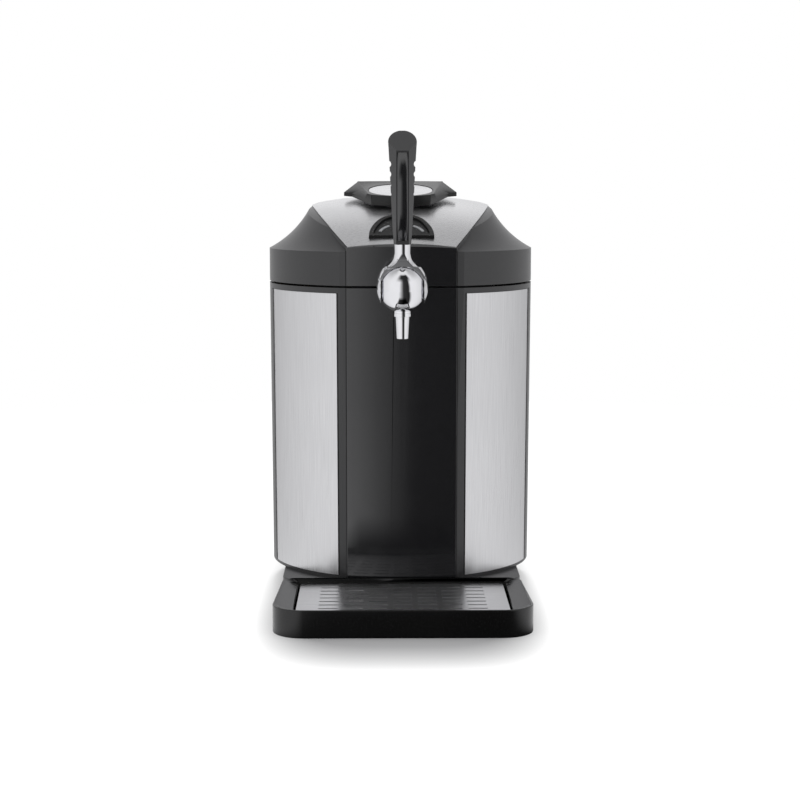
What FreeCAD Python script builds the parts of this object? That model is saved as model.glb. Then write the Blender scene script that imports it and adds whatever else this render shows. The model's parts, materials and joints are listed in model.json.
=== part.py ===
"""Counter-top dispenser for 5-litre mini kegs: cooled keg chamber, hinged lid, ball tap and drip tray.

Row frame: +Z up, front (tap side) towards -Y, origin on the table under the middle of the overall box.
Every sub-part is modelled about the vertical axis of the round body and then moved by AXIS_Y.
"""

import FreeCAD
import Part
import Sketcher

import math
import os
import re

V = FreeCAD.Vector

# Driving dimensions in millimetres and degrees: alias, value, meaning.
DIMENSIONS = [
    ("body_radius", 137, "round body, outside"),
    ("shell_wall", 3, "wall of the moulded shells"),
    ("body_floor_z", 24, "underside of the body above the table"),
    ("body_top_z", 316, "top edge of the body shell"),
    ("body_draft", 1.8, "how much slimmer the body is at its foot, on the radius"),
    ("body_wall", 4.2, "wall of the round body at its top"),
    ("groove_wide", 0.8, "shadow groove beside the gloss panels"),
    ("groove_deep", 1.2, "shadow groove beside the gloss panels"),
    ("seam_gap", 2, "shadow gap between body and lid"),
    ("collar_top_z", 351.5, "top of the upright band of the lid"),
    ("fit_gap", 0.3, "clearance between seated pieces"),
    ("run_gap", 0.2, "clearance round sliding and turning pieces"),
    ("pin_gap", 0.05, "radial clearance on hinge pins"),
    ("bay_half", 61.5, "half width of the flat bay in the front of the body"),
    ("bay_land_half", 55.3, "half width of the flat land behind the front panels"),
    ("bay_depth", 124.5, "land of the bay, from the body axis"),
    ("panel_half", 54.5, "half width of the gloss front panels"),
    ("panel_edge_thick", 1.5, "gloss panel thickness at its sides"),
    ("panel_crown_radius", 515, "crown of the gloss panels"),
    ("skin_start_deg", 28, "steel side skin, first edge from the front"),
    ("skin_end_deg", 76, "steel side skin, far edge from the front"),
    ("skin_thick", 0.9, "steel side skins"),
    ("skin_proud", 0.4, "steel side skins stand out from the shell"),
    ("skin_line_deg", 0.55, "shadow line at the front edge of the side skins"),
    ("skin_top_border", 5.5, "shell showing above the side skins"),
    ("skin_bottom_border", 3, "shell showing below the side skins"),
    ("rear_half", 88, "half width of the cooling housing at the back"),
    ("rear_reach", 172, "back face from the body axis"),
    ("rear_corner", 14, "corner radius of the cooling housing"),
    ("cover_thick", 3, "rear cover"),
    ("shoulder_head_r", 93.2, "radius where the lid shoulder meets the crown"),
    ("shoulder_head_z", 396, "height where the lid shoulder meets the crown"),
    ("shoulder_arc", 100, "hollow curve of the lid shoulder"),
    ("crown_z", 405.9, "highest line of the lid"),
    ("crown_back", 50, "crown line behind the body axis"),
    ("crown_radius", 353, "front-to-back curve of the lid top"),
    ("crown_cross_radius", 480, "side-to-side curve of the lid top"),
    ("top_front_half", 53.6, "half width of the steel top where it meets the front"),
    ("top_side_y", 20, "where the steel top is as wide as it gets, behind the body axis"),
    ("top_side_half", 93.7, "half width of the steel top"),
    ("top_side_arc", 390, "long curve of the sides of the steel top"),
    ("top_rim", 0.7, "black rim round the steel top"),
    ("lid_skin", 0.8, "steel top skin of the lid"),
    ("knob_front", 13, "knob axis ahead of the body axis on the lid"),
    ("knob_seat_thick", 1, "bearing ring under the knob"),
    ("knob_seat_r", 27, "bearing ring radius"),
    ("knob_rim", 3.8, "height of the knob wings at their tips"),
    ("knob_tall", 10.6, "height of the knob"),
    ("knob_disc_r", 33, "bare disc in the knob"),
    ("knob_disc_thick", 1.2, "bare disc in the knob"),
    ("shaft_r", 6, "knob shaft"),
    ("latch_drop", 62, "underside of the latch gear below the lid surface"),
    ("gear_thick", 5, "latch gear and bolt thickness"),
    ("gear_pitch_r", 9, "latch gear pitch radius"),
    ("bolt_wide", 9, "latch bolt width behind its teeth"),
    ("bolt_reach", 107, "latch bolt tip when drawn back"),
    ("hinge_back", 10, "lid hinge axis behind the round body"),
    ("hinge_z", 325, "lid hinge axis height"),
    ("hinge_barrel_r", 6, "hinge knuckles"),
    ("hinge_pin_r", 2.5, "hinge pin"),
    ("lug_face", 1.5, "flat seat of the lid lugs behind the round body"),
    ("tap_z", 319, "tap axis height"),
    ("tap_reach", 187, "ball centre ahead of the body axis"),
    ("ball_r", 22.6, "tap ball"),
    ("yoke_r", 24.8, "outer sphere of the lever caps"),
    ("yoke_gap", 0.3, "gap between ball and lever"),
    ("ball_flat", 20.2, "half width of the ball between the lever caps"),
    ("shank_r", 9, "tap shank"),
    ("hood_half", 9.4, "half width of the lever arch over the ball, front to back"),
    ("neck_r", 7.7, "chrome neck of the lever"),
    ("handle_foot_z", 361.5, "lower end of the handle"),
    ("handle_top_z", 468, "highest point of the handle"),
    ("grip_flat", 6, "half width of the flat front of the handle"),
    ("strip_half", 5.15, "half width of the gloss strip in the handle"),
    ("spout_tip_z", 271.5, "lower end of the spout"),
    ("spout_r", 6.8, "spout tube at its root"),
    ("spout_tip_r", 5.7, "spout tube at its lower end"),
    ("spout_flange_r", 8.2, "flange of the spout under the ball"),
    ("spout_bore", 4.2, "bore of the spout"),
    ("plunger_r", 3.5, "valve plunger"),
    ("plunger_travel", 6, "valve plunger travel"),
    ("pedestal_half", 120, "half width of the pedestal"),
    ("pedestal_front", 118, "front face of the pedestal from the body axis"),
    ("foot_tall", 3, "rubber feet"),
    ("foot_r", 9, "rubber feet"),
    ("tray_half", 122.8, "half width of the drip tray"),
    ("tray_taper", 3.8, "how much narrower the tray is at its back, each side"),
    ("tray_front", 269, "front of the drip tray from the body axis"),
    ("tray_back", 130, "back of the drip tray from the body axis"),
    ("tray_tall", 26.6, "rim height of the drip tray"),
    ("tray_front_corner", 30, "front corner radius of the drip tray"),
    ("tray_back_corner", 13, "back corner radius of the drip tray"),
    ("tray_floor", 3, "floor of the drip tray"),
    ("grille_half", 100.8, "half width of the steel grille"),
    ("grille_z", 20.4, "underside of the steel grille"),
    ("grille_thick", 1.2, "steel grille"),
    ("grille_front", 258, "front edge of the grille from the body axis"),
    ("grille_back", 135, "back edge of the grille from the body axis"),
    ("slot_long", 18, "grille slots"),
    ("slot_wide", 3, "grille slots"),
    ("slot_pitch_x", 23.6, "grille slots, side to side"),
    ("slot_pitch_y", 14.5, "grille slots, front to back"),
    ("keg_bore_r", 88, "inside of the keg chamber"),
    ("liner_wall", 1.5, "aluminium liner"),
    ("liner_floor_z", 36, "inside floor of the keg chamber"),
    ("deck_z", 308, "top of the inner deck"),
    ("cold_half", 30, "half width of the cold block"),
    ("cold_mid_z", 190, "middle of the cooling stack"),
    ("cold_back", 101, "back face of the cold block"),
    ("chip_half", 20, "half width of the thermoelectric chip"),
    ("chip_thick", 4, "thermoelectric chip"),
    ("sink_half", 50, "half width of the heat sink"),
    ("sink_base", 6, "base of the heat sink"),
    ("sink_deep", 30, "heat sink with its fins"),
    ("fan_half", 46, "half width of the fan frame"),
    ("fan_deep", 20, "fan frame"),
    ("fan_bore_r", 43, "bore of the fan frame"),
    ("fan_hub_r", 16, "fan hub"),
    ("gas_x", -88.3, "gas cartridge well, across"),
    ("gas_y", 77.6, "gas cartridge well, along"),
    ("gas_sleeve_r", 14.5, "gas cartridge sleeve"),
    ("gas_sleeve_long", 96, "gas cartridge sleeve"),
    ("gas_knob_r", 7.5, "pressure knob"),
    ("panel_tilt_y", 92, "control panel ahead of the body axis"),
    ("control_half", 32.2, "half width of the control panel"),
    ("control_long", 50, "control panel along the slope"),
    ("control_arch_r", 26, "arch at the upper end of the control panel"),
    ("control_rim", 4.2, "dark rim round the control panel"),
    ("key_ring_y", 6.5, "middle of the curved keys above the front edge of the panel"),
    ("key_ring_r", 22, "curved keys"),
    ("key_wide", 3, "curved keys"),
]
WORDS = re.compile(r"\b(" + "|".join(name for name, *_ in DIMENSIONS) + r")\b")

doc = FreeCAD.newDocument("mini_keg_dispenser")
dims = doc.addObject("Spreadsheet::Sheet", "Dims")
for row, (alias, value, meaning) in enumerate(DIMENSIONS, 1):
    dims.set(f"A{row}", str(value))
    dims.setAlias(f"A{row}", alias)
    dims.set(f"B{row}", meaning)
doc.recompute()

# Sizes that follow from the driving dimensions.
AXIS_Y = "(tray_front - rear_reach) / 2"
LID_FLOOR_Z = "(body_top_z + seam_gap)"
COVER_FACE = "(rear_reach - cover_thick)"
FOAM_EDGE = "(body_wall + fit_gap)"
HINGE_Y = "(body_radius + hinge_back)"
LUG_FACE_Y = "(body_radius + lug_face)"
SINK_BACK = "(cold_back + chip_thick + sink_deep)"

parts = {}


def link(expression):
    """The expression with each dimension read from the spreadsheet."""
    return WORDS.sub(r"Dims.\1", str(expression))


def val(expression):
    """The present value of an expression of dimensions."""
    return float(dims.evalExpression(link(expression)))


def bind(obj, properties):
    """Ties each property of obj to an expression of dimensions."""
    for name, expression in properties.items():
        obj.setExpression(name, link(expression))
    return obj


def place(obj, x=0, y=0, z=0, axis=None, angle=0):
    """Puts obj at (x, y, z), turned about axis."""
    if axis:
        obj.Placement = FreeCAD.Placement(V(0, 0, 0), FreeCAD.Rotation(axis, val(angle)))
    for name, expression in (("x", x), ("y", y), ("z", z)):
        if expression != 0:
            obj.setExpression(f"Placement.Base.{name}", link(expression))
    return obj


def box(low, high):
    """A box between two corners, whose coordinates are expressions."""
    made = doc.addObject("Part::Box", "Block")
    for size, a, b in zip(("Length", "Width", "Height"), low, high):
        made.setExpression(size, link(f"({b}) - ({a})"))
    return place(made, *low)


def slab(half, low_y, high_y, low_z, high_z):
    """A box that is symmetrical side to side."""
    return box((f"-({half})", low_y, low_z), (half, high_y, high_z))


def rod(radius, length, x=0, y=0, z=0, along="Z"):
    """A cylinder from (x, y, z) along +X, +Y or +Z."""
    made = bind(doc.addObject("Part::Cylinder", "Round"), {"Radius": radius, "Height": length})
    turns = {"Z": (None, 0), "X": (V(0, 1, 0), 90), "Y": (V(1, 0, 0), -90)}
    return place(made, x, y, z, *turns[along])


def ball(radius, x=0, y=0, z=0):
    """A sphere."""
    return place(bind(doc.addObject("Part::Sphere", "Ball"), {"Radius": radius}), x, y, z)


def fuse(*shapes):
    """All shapes as one solid."""
    made = doc.addObject("Part::MultiFuse", "Joined")
    made.Shapes = list(shapes)
    made.Refine = True
    return made


def cut(base, *tools):
    """The base without the tools."""
    made = doc.addObject("Part::Cut", "Trimmed")
    made.Base = base
    made.Tool = tools[0] if len(tools) == 1 else fuse(*tools)
    made.Refine = True
    return made


def common(*shapes):
    """What the shapes share."""
    made = doc.addObject("Part::MultiCommon", "Shared")
    made.Shapes = list(shapes)
    return made


def publish(node, obj, shifted=True):
    """Names a finished sub-part, and moves it from the body axis to the row frame."""
    if shifted:
        own = [text for path, text in obj.ExpressionEngine if path.endswith("Placement.Base.y")]
        obj.setExpression("Placement.Base.y", " + ".join(own + [link(AXIS_Y)]))
    obj.Label = node
    parts[node] = obj
    return obj


def draw(body, plane, corners, height=0):
    """A closed, fully dimensioned sketch of straight lines and arcs.

    A corner is (x, y), or (x, y, radius) where an arc of that radius runs from it to the next corner.
    A negative radius bends the arc the other way.
    """
    sketch = body.newObject("Sketcher::SketchObject", "Outline")
    datum = {item.Role: item for item in body.Origin.OriginFeatures}
    sketch.AttachmentSupport = [(datum[plane], "")]
    sketch.MapMode = "FlatFace"
    sketch.setExpression("AttachmentOffset.Base.z", link(height))
    points = [V(val(c[0]), val(c[1]), 0) for c in corners]
    count = len(corners)
    start_of, end_of = {}, {}
    for n, corner in enumerate(corners):
        a, b = points[n], points[(n + 1) % count]
        if len(corner) == 2:
            sketch.addGeometry(Part.LineSegment(a, b))
            start_of[n], end_of[n] = 1, 2
            continue
        radius = val(corner[2])
        half = (b - a) * 0.5
        side = V(-half.y, half.x, 0).normalize()
        lift = math.sqrt(max(radius * radius - half.Length ** 2, 0))
        bend = 1 if radius > 0 else -1
        middle = a + half + side * (lift * bend)
        first, last = (a, b) if bend > 0 else (b, a)
        angles = [math.atan2(p.y - middle.y, p.x - middle.x) for p in (first, last)]
        circle = Part.Circle(middle, V(0, 0, 1), abs(radius))
        sketch.addGeometry(Part.ArcOfCircle(circle, angles[0], angles[1]))
        start_of[n], end_of[n] = (1, 2) if bend > 0 else (2, 1)
        number = sketch.addConstraint(Sketcher.Constraint("Radius", n, abs(radius)))
        sketch.setExpression(f"Constraints[{number}]", link(f"abs({corner[2]})"))
    for n in range(count):
        after = (n + 1) % count
        sketch.addConstraint(Sketcher.Constraint("Coincident", n, end_of[n], after, start_of[after]))
    for n, corner in enumerate(corners):
        for kind, offset, size in (
            ("DistanceX", corner[0], points[n].x), ("DistanceY", corner[1], points[n].y),
        ):
            number = sketch.addConstraint(Sketcher.Constraint(kind, -1, 1, n, start_of[n], size))
            sketch.setExpression(f"Constraints[{number}]", link(offset))
    return sketch


def prism(corners, low, high, plane="XY_Plane"):
    """A Body that pads an outline from low to high along the plane's normal."""
    body = doc.addObject("PartDesign::Body", "Moulding")
    sketch = draw(body, plane, corners, low)
    pad = body.newObject("PartDesign::Pad", "Pad")
    pad.Profile = sketch
    pad.setExpression("Length", link(f"({high}) - ({low})"))
    return body


def turned(corners, axis="V_Axis", plane="XZ_Plane"):
    """A Body that turns an outline a full turn about an axis of its sketch."""
    body = doc.addObject("PartDesign::Body", "Turning")
    sketch = draw(body, plane, corners)
    revolution = body.newObject("PartDesign::Revolution", "Revolution")
    revolution.Profile = sketch
    revolution.ReferenceAxis = (sketch, [axis])
    revolution.Angle = 360
    return body


def lofted(sections):
    """A Body lofted through outlines given as (height, corners)."""
    body = doc.addObject("PartDesign::Body", "Lofting")
    sketches = [draw(body, "XY_Plane", corners, height) for height, corners in sections]
    loft = body.newObject("PartDesign::AdditiveLoft", "Loft")
    loft.Profile = sketches[0]
    loft.Sections = sketches[1:]
    loft.Ruled = False
    return body


def body_plan(inset):
    """The plan of the round body with its flat front bay, drawn in by inset."""
    radius = f"(body_radius - {inset})"
    side_y = f"sqrt({radius} ^ 2 - bay_half ^ 2)"
    land = f"(bay_depth - {inset})"
    return [
        ("-bay_land_half", f"-{land}"),
        ("bay_land_half", f"-{land}"),
        ("bay_half", f"-{side_y}", radius),
        ("0", radius, radius),
        ("-bay_half", f"-{side_y}"),
    ]


def rear_plan(inset, near):
    """The plan of the cooling housing behind the body, from near to its back face."""
    half, back = f"(rear_half - {inset})", f"(rear_reach - cover_thick - {inset})"
    corner = f"(rear_corner - {inset})"
    return [
        (f"-{half}", near),
        (half, near),
        (half, f"{back} - {corner}", corner),
        (f"{half} - {corner}", back),
        (f"-{half} + {corner}", back, corner),
        (f"-{half}", f"{back} - {corner}"),
    ]


def rounded(half_x, front, back, front_corner, back_corner, taper="0"):
    """A rounded rectangle from y = -front to y = -back, narrower by taper at its back."""
    back_x = f"({half_x} - {taper})"
    return [
        (f"-{half_x} + {front_corner}", f"-{front}"),
        (f"{half_x} - {front_corner}", f"-{front}", front_corner),
        (half_x, f"-{front} + {front_corner}"),
        (back_x, f"-{back} - {back_corner}", back_corner),
        (f"{back_x} - {back_corner}", f"-{back}"),
        (f"-{back_x} + {back_corner}", f"-{back}", back_corner),
        (f"-{back_x}", f"-{back} - {back_corner}"),
        (f"-{half_x}", f"-{front} + {front_corner}", front_corner),
    ]


def sector(first_deg, last_deg, low, high):
    """A thick curved block between two angles, counted from the front."""
    inner, outer = "(body_radius - 12)", "(body_radius + 6)"
    corners = [
        (f"{outer} * sin({first_deg} * 1deg)", f"-{outer} * cos({first_deg} * 1deg)", outer),
        (f"{outer} * sin({last_deg} * 1deg)", f"-{outer} * cos({last_deg} * 1deg)"),
        (f"{inner} * sin({last_deg} * 1deg)", f"-{inner} * cos({last_deg} * 1deg)", f"-{inner}"),
        (f"{inner} * sin({first_deg} * 1deg)", f"-{inner} * cos({first_deg} * 1deg)"),
    ]
    return prism(corners, low, high)


def drafted(proud):
    """The slightly tapered round of the body, grown by proud."""
    made = bind(doc.addObject("Part::Cone", "Draft"), {
        "Radius1": f"body_radius - body_draft + {proud}",
        "Radius2": f"body_radius + {proud}",
        "Height": "body_top_z - body_floor_z",
    })
    return place(made, 0, 0, "body_floor_z")


def panel_grooves(low, high):
    """The upright shadow grooves on both sides of a gloss panel."""
    return [
        box((left, "-bay_depth - 1", low), (f"{left} + groove_wide", "-bay_depth + groove_deep", high))
        for left in ("-panel_half - groove_wide", "panel_half")
    ]


# The round body: one moulded shell with a flat bay in front and a square cooling housing behind.
SKIN_LOW = "(body_floor_z + skin_bottom_border)"
SKIN_HIGH = "(body_top_z - skin_top_border)"
housing = prism(rear_plan("0", "60"), "body_floor_z", "body_top_z")
body_round = common(prism(body_plan("0"), "body_floor_z", "body_top_z"), drafted("0"))
body_hollow = prism(body_plan("body_wall"), "body_floor_z + shell_wall", "body_top_z + 1")
rear_hollow = prism(rear_plan("shell_wall", "60"), "body_floor_z + shell_wall", "body_top_z - shell_wall")
window = slab("74", "rear_reach - 30", "rear_reach + 1", "body_floor_z + 10", "body_top_z - 12")
pockets = [
    cut(
        sector(first, last, f"{SKIN_LOW} - 0.3", f"{SKIN_HIGH} + 0.3"),
        drafted("skin_proud - skin_thick - fit_gap"),
    )
    for first, last in (
        ("(skin_start_deg - skin_line_deg)", "(skin_end_deg + 0.15)"),
        ("(-skin_end_deg - 0.15)", "(-skin_start_deg + skin_line_deg)"),
    )
]
shank_bite = rod("shank_r + fit_gap", 60, 0, "-tap_reach + 50", "tap_z", "Y")
grooves = panel_grooves("body_floor_z - 1", "body_top_z + 1")
body_shell = cut(
    fuse(body_round, housing), body_hollow, rear_hollow, window, shank_bite, *pockets, *grooves,
)
publish("body_shell", body_shell)

for side, (first, last) in (
    ("left", ("-skin_end_deg", "-skin_start_deg")), ("right", ("skin_start_deg", "skin_end_deg")),
):
    skin = common(sector(first, last, SKIN_LOW, SKIN_HIGH), drafted("skin_proud"))
    publish(f"side_panel_{side}", cut(skin, drafted("skin_proud - skin_thick")))

gloss_plan = [
    ("panel_half", "-bay_depth"),
    ("-panel_half", "-bay_depth"),
    ("-panel_half", "-bay_depth - panel_edge_thick", "panel_crown_radius"),
    ("panel_half", "-bay_depth - panel_edge_thick"),
]
front_bite = rod("shank_r + fit_gap", 60, 0, "-tap_reach + 30", "tap_z", "Y")
publish("front_panel", cut(prism(gloss_plan, "body_floor_z", "body_top_z"), front_bite))

# Pedestal, feet and the sockets that hold the tongues of the drip tray.
TONGUE_X, TONGUE_HALF = "70", "11"
TONGUE_LOW, TONGUE_HIGH = "7", "12"
pedestal = prism(
    rounded("pedestal_half", "(pedestal_front + 8)", "(-150)", "18", "30"), "foot_tall", "body_floor_z",
)
hollow = prism(
    rounded("(pedestal_half - 4)", "(pedestal_front + 4)", "(-146)", "14", "26"),
    "foot_tall - 1",
    "body_floor_z - 4",
)
foot_spots = [("-98", "-96"), ("98", "-96"), ("-88", "122"), ("88", "122")]
foot_posts = [rod("foot_r + 3", "body_floor_z - 5", x, y, "foot_tall") for x, y in foot_spots]
foot_seats = [rod("foot_r - 3", "4", x, y, "foot_tall - 1") for x, y in foot_spots]
sleeves, tongues, slots = [], [], []
for sign in ("-", ""):
    middle = f"{sign}{TONGUE_X}"
    sleeves.append(
        box(
            (f"{middle} - 15", "-pedestal_front - 6", "foot_tall + 1"),
            (f"{middle} + 15", "-pedestal_front + 26", "15"),
        )
    )
    tongues.append(
        box(
            (f"{middle} - {TONGUE_HALF}", "-tray_back - 2", TONGUE_LOW),
            (f"{middle} + {TONGUE_HALF}", "-pedestal_front + 18", TONGUE_HIGH),
        )
    )
    slots.append(box(
        (f"{middle} - {TONGUE_HALF} - fit_gap", "-tray_back - 2", f"{TONGUE_LOW} - fit_gap"),
        (f"{middle} + {TONGUE_HALF} + fit_gap", "-pedestal_front + 20", f"{TONGUE_HIGH} + fit_gap"),
    ))
publish("base_pedestal", cut(fuse(cut(pedestal, hollow), *sleeves, *foot_posts), *slots, *foot_seats))
for n, (x, y) in enumerate(foot_spots, 1):
    pad = rod("foot_r", "foot_tall", x, y, 0)
    stem = rod("foot_r - 3.2", "foot_tall + 2.6", x, y, 0)
    publish(f"rubber_foot_{n}", fuse(pad, stem))

# Drip tray with a sloped border, its lift-out grille and four stubby grille supports.
tray_plan = rounded(
    "tray_half", "tray_front", "tray_back", "tray_front_corner", "tray_back_corner", "tray_taper",
)
GRILLE_TOP = "(grille_z + grille_thick)"
tray_block = prism(tray_plan, "0", "tray_tall")
well = slab("grille_half + 2", "-grille_front - 1", "-grille_back + 1.5", "tray_floor", "tray_tall + 1")
border = lofted([
    (
        f"{GRILLE_TOP} - 0.6",
        rounded("(grille_half + 2)", "(grille_front + 1)", "(grille_back - 1.5)", "3", "2"),
    ),
    (
        "tray_tall + 0.4",
        rounded("(tray_half - 2)", "(tray_front - 2)", "(tray_back + 1.5)", "28", "11.5", "tray_taper"),
    ),
])
ledges = [
    box((x, y, "tray_floor - 1"), (f"{x} + 8", f"{y} + 8", "grille_z"))
    for x in ("-grille_half - 3", "-4", "grille_half - 5") for y in (
        "-grille_front - 2", "-grille_back - 5.5",
    )
]
publish("drip_tray", fuse(cut(tray_block, well, border), *ledges, *tongues))

grille_plate = slab("grille_half", "-grille_front", "-grille_back", "grille_z", GRILLE_TOP)
openings = []
for column in range(-3, 4):
    for line in range(-3, 4):
        openings.append(box(
            (
                f"{column} * slot_pitch_x - slot_long / 2",
                f"(-grille_front - grille_back) / 2 + {line} * slot_pitch_y - slot_wide / 2",
                "grille_z - 1",
            ),
            (
                f"{column} * slot_pitch_x + slot_long / 2",
                f"(-grille_front - grille_back) / 2 + {line} * slot_pitch_y + slot_wide / 2",
                f"{GRILLE_TOP} + 1",
            ),
        ))
skirt = cut(
    slab("grille_half - 9", "-grille_front + 9", "-grille_back - 9", "grille_z - 4", "grille_z"),
    slab(
        "grille_half - 10.2", "-grille_front + 10.2", "-grille_back - 10.2", "grille_z - 5", "grille_z + 1",
    ),
)
publish("drip_grille", cut(fuse(grille_plate, skirt), *openings))


# The lid: an upright collar, a hollow-curved shoulder and a gently crowned top.
def shoulder_form(inset):
    """The turned form of collar and shoulder, drawn in by inset."""
    rim, head = f"(body_radius - {inset})", f"(shoulder_head_r - {inset})"
    return turned([
        ("0", f"{LID_FLOOR_Z} - 30 * min(1; {inset})"),
        (rim, f"{LID_FLOOR_Z} - 30 * min(1; {inset})"),
        (rim, f"collar_top_z - {inset}", "-shoulder_arc"),
        (head, f"shoulder_head_z - {inset}"),
        (f"{head} - 14.5", f"shoulder_head_z + 30 - {inset}"),
        ("0", f"shoulder_head_z + 30 - {inset}"),
    ])


def crown_form(drop):
    """Everything under the crowned top surface, lowered by drop."""
    lift = "(crown_cross_radius - crown_radius)"
    radius = f"(crown_radius - {drop})"
    front, back = "(-160)", "(200)"
    body = turned([
        (front, "0"),
        (back, "0"),
        (back, f"{lift} + sqrt({radius} ^ 2 - ({back} - crown_back) ^ 2)", radius),
        (front, f"{lift} + sqrt({radius} ^ 2 - ({front} - crown_back) ^ 2)"),
    ], "H_Axis", "YZ_Plane")
    body.setExpression("Placement.Base.z", link("crown_z - crown_cross_radius"))
    return body


def on_lid(obj, y, tilt, rise=0, x=0, extra=None):
    """Stands obj, made about the origin, on the lid surface at y, leaning by tilt degrees."""
    drop = f"(crown_radius - sqrt(crown_radius ^ 2 - ({y} - crown_back) ^ 2))"
    surface = f"(crown_z - {drop})"
    turn = FreeCAD.Rotation(V(1, 0, 0), tilt)
    if extra is not None:
        turn = turn.multiply(extra)
    obj.Placement = FreeCAD.Placement(V(0, 0, 0), turn)
    lean = math.radians(tilt)
    obj.setExpression("Placement.Base.y", link(f"{y} - ({rise}) * {math.sin(lean):.6f}"))
    obj.setExpression("Placement.Base.z", link(f"{surface} + ({rise}) * {math.cos(lean):.6f}"))
    if x:
        obj.setExpression("Placement.Base.x", link(x))
    return obj


KNOB_Y = "(-knob_front)"
KNOB_TILT = math.degrees(math.asin((val("crown_back") + val("knob_front")) / val("crown_radius")))
PANEL_Y = "(-panel_tilt_y)"
PANEL_TILT = math.degrees(math.asin((val("crown_back") + val("panel_tilt_y")) / val("crown_radius")))


CONTROL_SLACK = "(control_half - control_arch_r)"
CONTROL_RISE = "(control_long - control_arch_r)"
CONTROL_SIDE_X = f"(({CONTROL_RISE} ^ 2 - {CONTROL_SLACK} ^ 2) / (2 * {CONTROL_SLACK}))"
CONTROL_REACH = f"sqrt({CONTROL_SIDE_X} ^ 2 + {CONTROL_RISE} ^ 2)"


def control_plan(inset):
    """The arched outline of the control panel: straight in front, with sides that flow into the arch."""
    side_r = f"({CONTROL_SIDE_X} + control_half - {inset})"
    arch_r = f"(control_arch_r - {inset})"
    front, arch_y = f"(-control_long / 2 + {inset})", "(control_long / 2 - control_arch_r)"
    foot = f"(sqrt({side_r} ^ 2 - {inset} ^ 2) - {CONTROL_SIDE_X})"
    join_x = f"({arch_r} * {CONTROL_SIDE_X} / {CONTROL_REACH})"
    join_y = f"({arch_y} + {arch_r} * {CONTROL_RISE} / {CONTROL_REACH})"
    return [
        (f"-{foot}", front),
        (foot, front, side_r),
        (join_x, join_y, arch_r),
        ("0", f"{arch_y} + {arch_r}", arch_r),
        (f"-{join_x}", join_y, side_r),
    ]


def top_plan(inset):
    """The plan of the steel top: narrow in front, with long curved sides and a round back."""
    front_x, side_x = f"(top_front_half - {inset})", f"(top_side_half - {inset})"
    arc = f"(top_side_arc - {inset})"
    round_r = f"sqrt({side_x} ^ 2 + top_side_y ^ 2)"
    return [
        (f"-{front_x}", "-bay_depth"),
        (front_x, "-bay_depth", arc),
        (side_x, "top_side_y", round_r),
        ("0", round_r, round_r),
        (f"-{side_x}", "top_side_y", arc),
    ]


lid_plan_block = prism(body_plan("0"), LID_FLOOR_Z, "crown_z + 20")
lid_core_plan = prism(body_plan("shell_wall"), f"{LID_FLOOR_Z} - 10", "crown_z + 20")
LID_GAP = "(lid_skin + fit_gap)"
top_block = prism(top_plan("0"), "collar_top_z - 10", "crown_z + 20")
outer = common(fuse(shoulder_form("0"), top_block), crown_form(LID_GAP), lid_plan_block)
inner = common(shoulder_form("shell_wall"), crown_form(f"({LID_GAP} + shell_wall)"), lid_core_plan)
bosses = [
    common(rod("4.5", "90", x, y, "323"), outer)
    for x, y in (("-66", "-58"), ("66", "-58"), ("-66", "58"), ("66", "58"))
]
seat_boss = common(on_lid(rod("knob_seat_r + 4", "12", 0, 0, 0), KNOB_Y, KNOB_TILT, "-14"), outer)
lug_seats = [
    cut(
        box(
            (low_x, "body_radius - 14", LID_FLOOR_Z),
            (high_x, LUG_FACE_Y, "hinge_z + hinge_barrel_r"),
        ),
        rod("body_radius - shell_wall", "20", 0, 0, f"{LID_FLOOR_Z} - 2"),
    )
    for low_x, high_x in (("-45.7", "-24"), ("24", "45.7"))
]
seat_pocket = on_lid(rod("knob_seat_r + fit_gap", "20"), KNOB_Y, KNOB_TILT, "-2.6")
shaft_hole = on_lid(rod("shaft_r + run_gap", "80"), KNOB_Y, KNOB_TILT, "-60")
control_hole = on_lid(prism(control_plan("(-fit_gap)"), "-14", "10"), PANEL_Y, PANEL_TILT)
notch_rod = rod("shank_r + 3.5", 40, 0, "-bay_depth - 10", "tap_z", "Y")
notch_box = slab("shank_r + 3.5", "-bay_depth - 10", "-bay_depth + 30", "tap_z - 10", "tap_z")
lid_block = cut(outer, inner)
lid_shell = cut(
    fuse(lid_block, *bosses, seat_boss, *lug_seats),
    seat_pocket, shaft_hole, control_hole, notch_rod, notch_box,
    *panel_grooves(f"{LID_FLOOR_Z} - 1", "crown_z"),
)
publish("lid_shell", lid_shell)

skin_solid = common(prism(top_plan("top_rim"), "collar_top_z - 10", "crown_z + 20"), crown_form("0"))
skin_under = crown_form("lid_skin")
publish("lid_top_panel", cut(
    skin_solid, skin_under,
    on_lid(rod("knob_seat_r + fit_gap", "30"), KNOB_Y, KNOB_TILT, "-10"),
    on_lid(prism(control_plan("(-fit_gap)"), "-14", "10"), PANEL_Y, PANEL_TILT),
))
lid_gloss = prism(gloss_plan, LID_FLOOR_Z, "crown_z")
publish("lid_front_panel", cut(
    common(lid_gloss, crown_form("lid_skin + 0.5")),
    rod("shank_r + 0.5", 60, 0, "-tap_reach + 30", "tap_z", "Y"),
    slab("shank_r + 0.5", "-bay_depth - 10", "-bay_depth + 1", "tap_z - 10", "tap_z"),
))

# Inner pan of the lid with its seal, which closes the keg chamber.
pan = rod("keg_bore_r + 13", "3", 0, 0, "320")
pan_holes = [
    rod("1.7", "8", x, y, "318")
    for x, y in (("-66", "-58"), ("66", "-58"), ("-66", "58"), ("66", "58"))
]
pan_rim = cut(rod("keg_bore_r + 9.5", "6", 0, 0, "314"), rod("keg_bore_r + 8", "8", 0, 0, "313"))
pan_rim_inner = cut(rod("keg_bore_r + 2", "6", 0, 0, "314"), rod("keg_bore_r + 0.5", "8", 0, 0, "313"))


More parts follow.
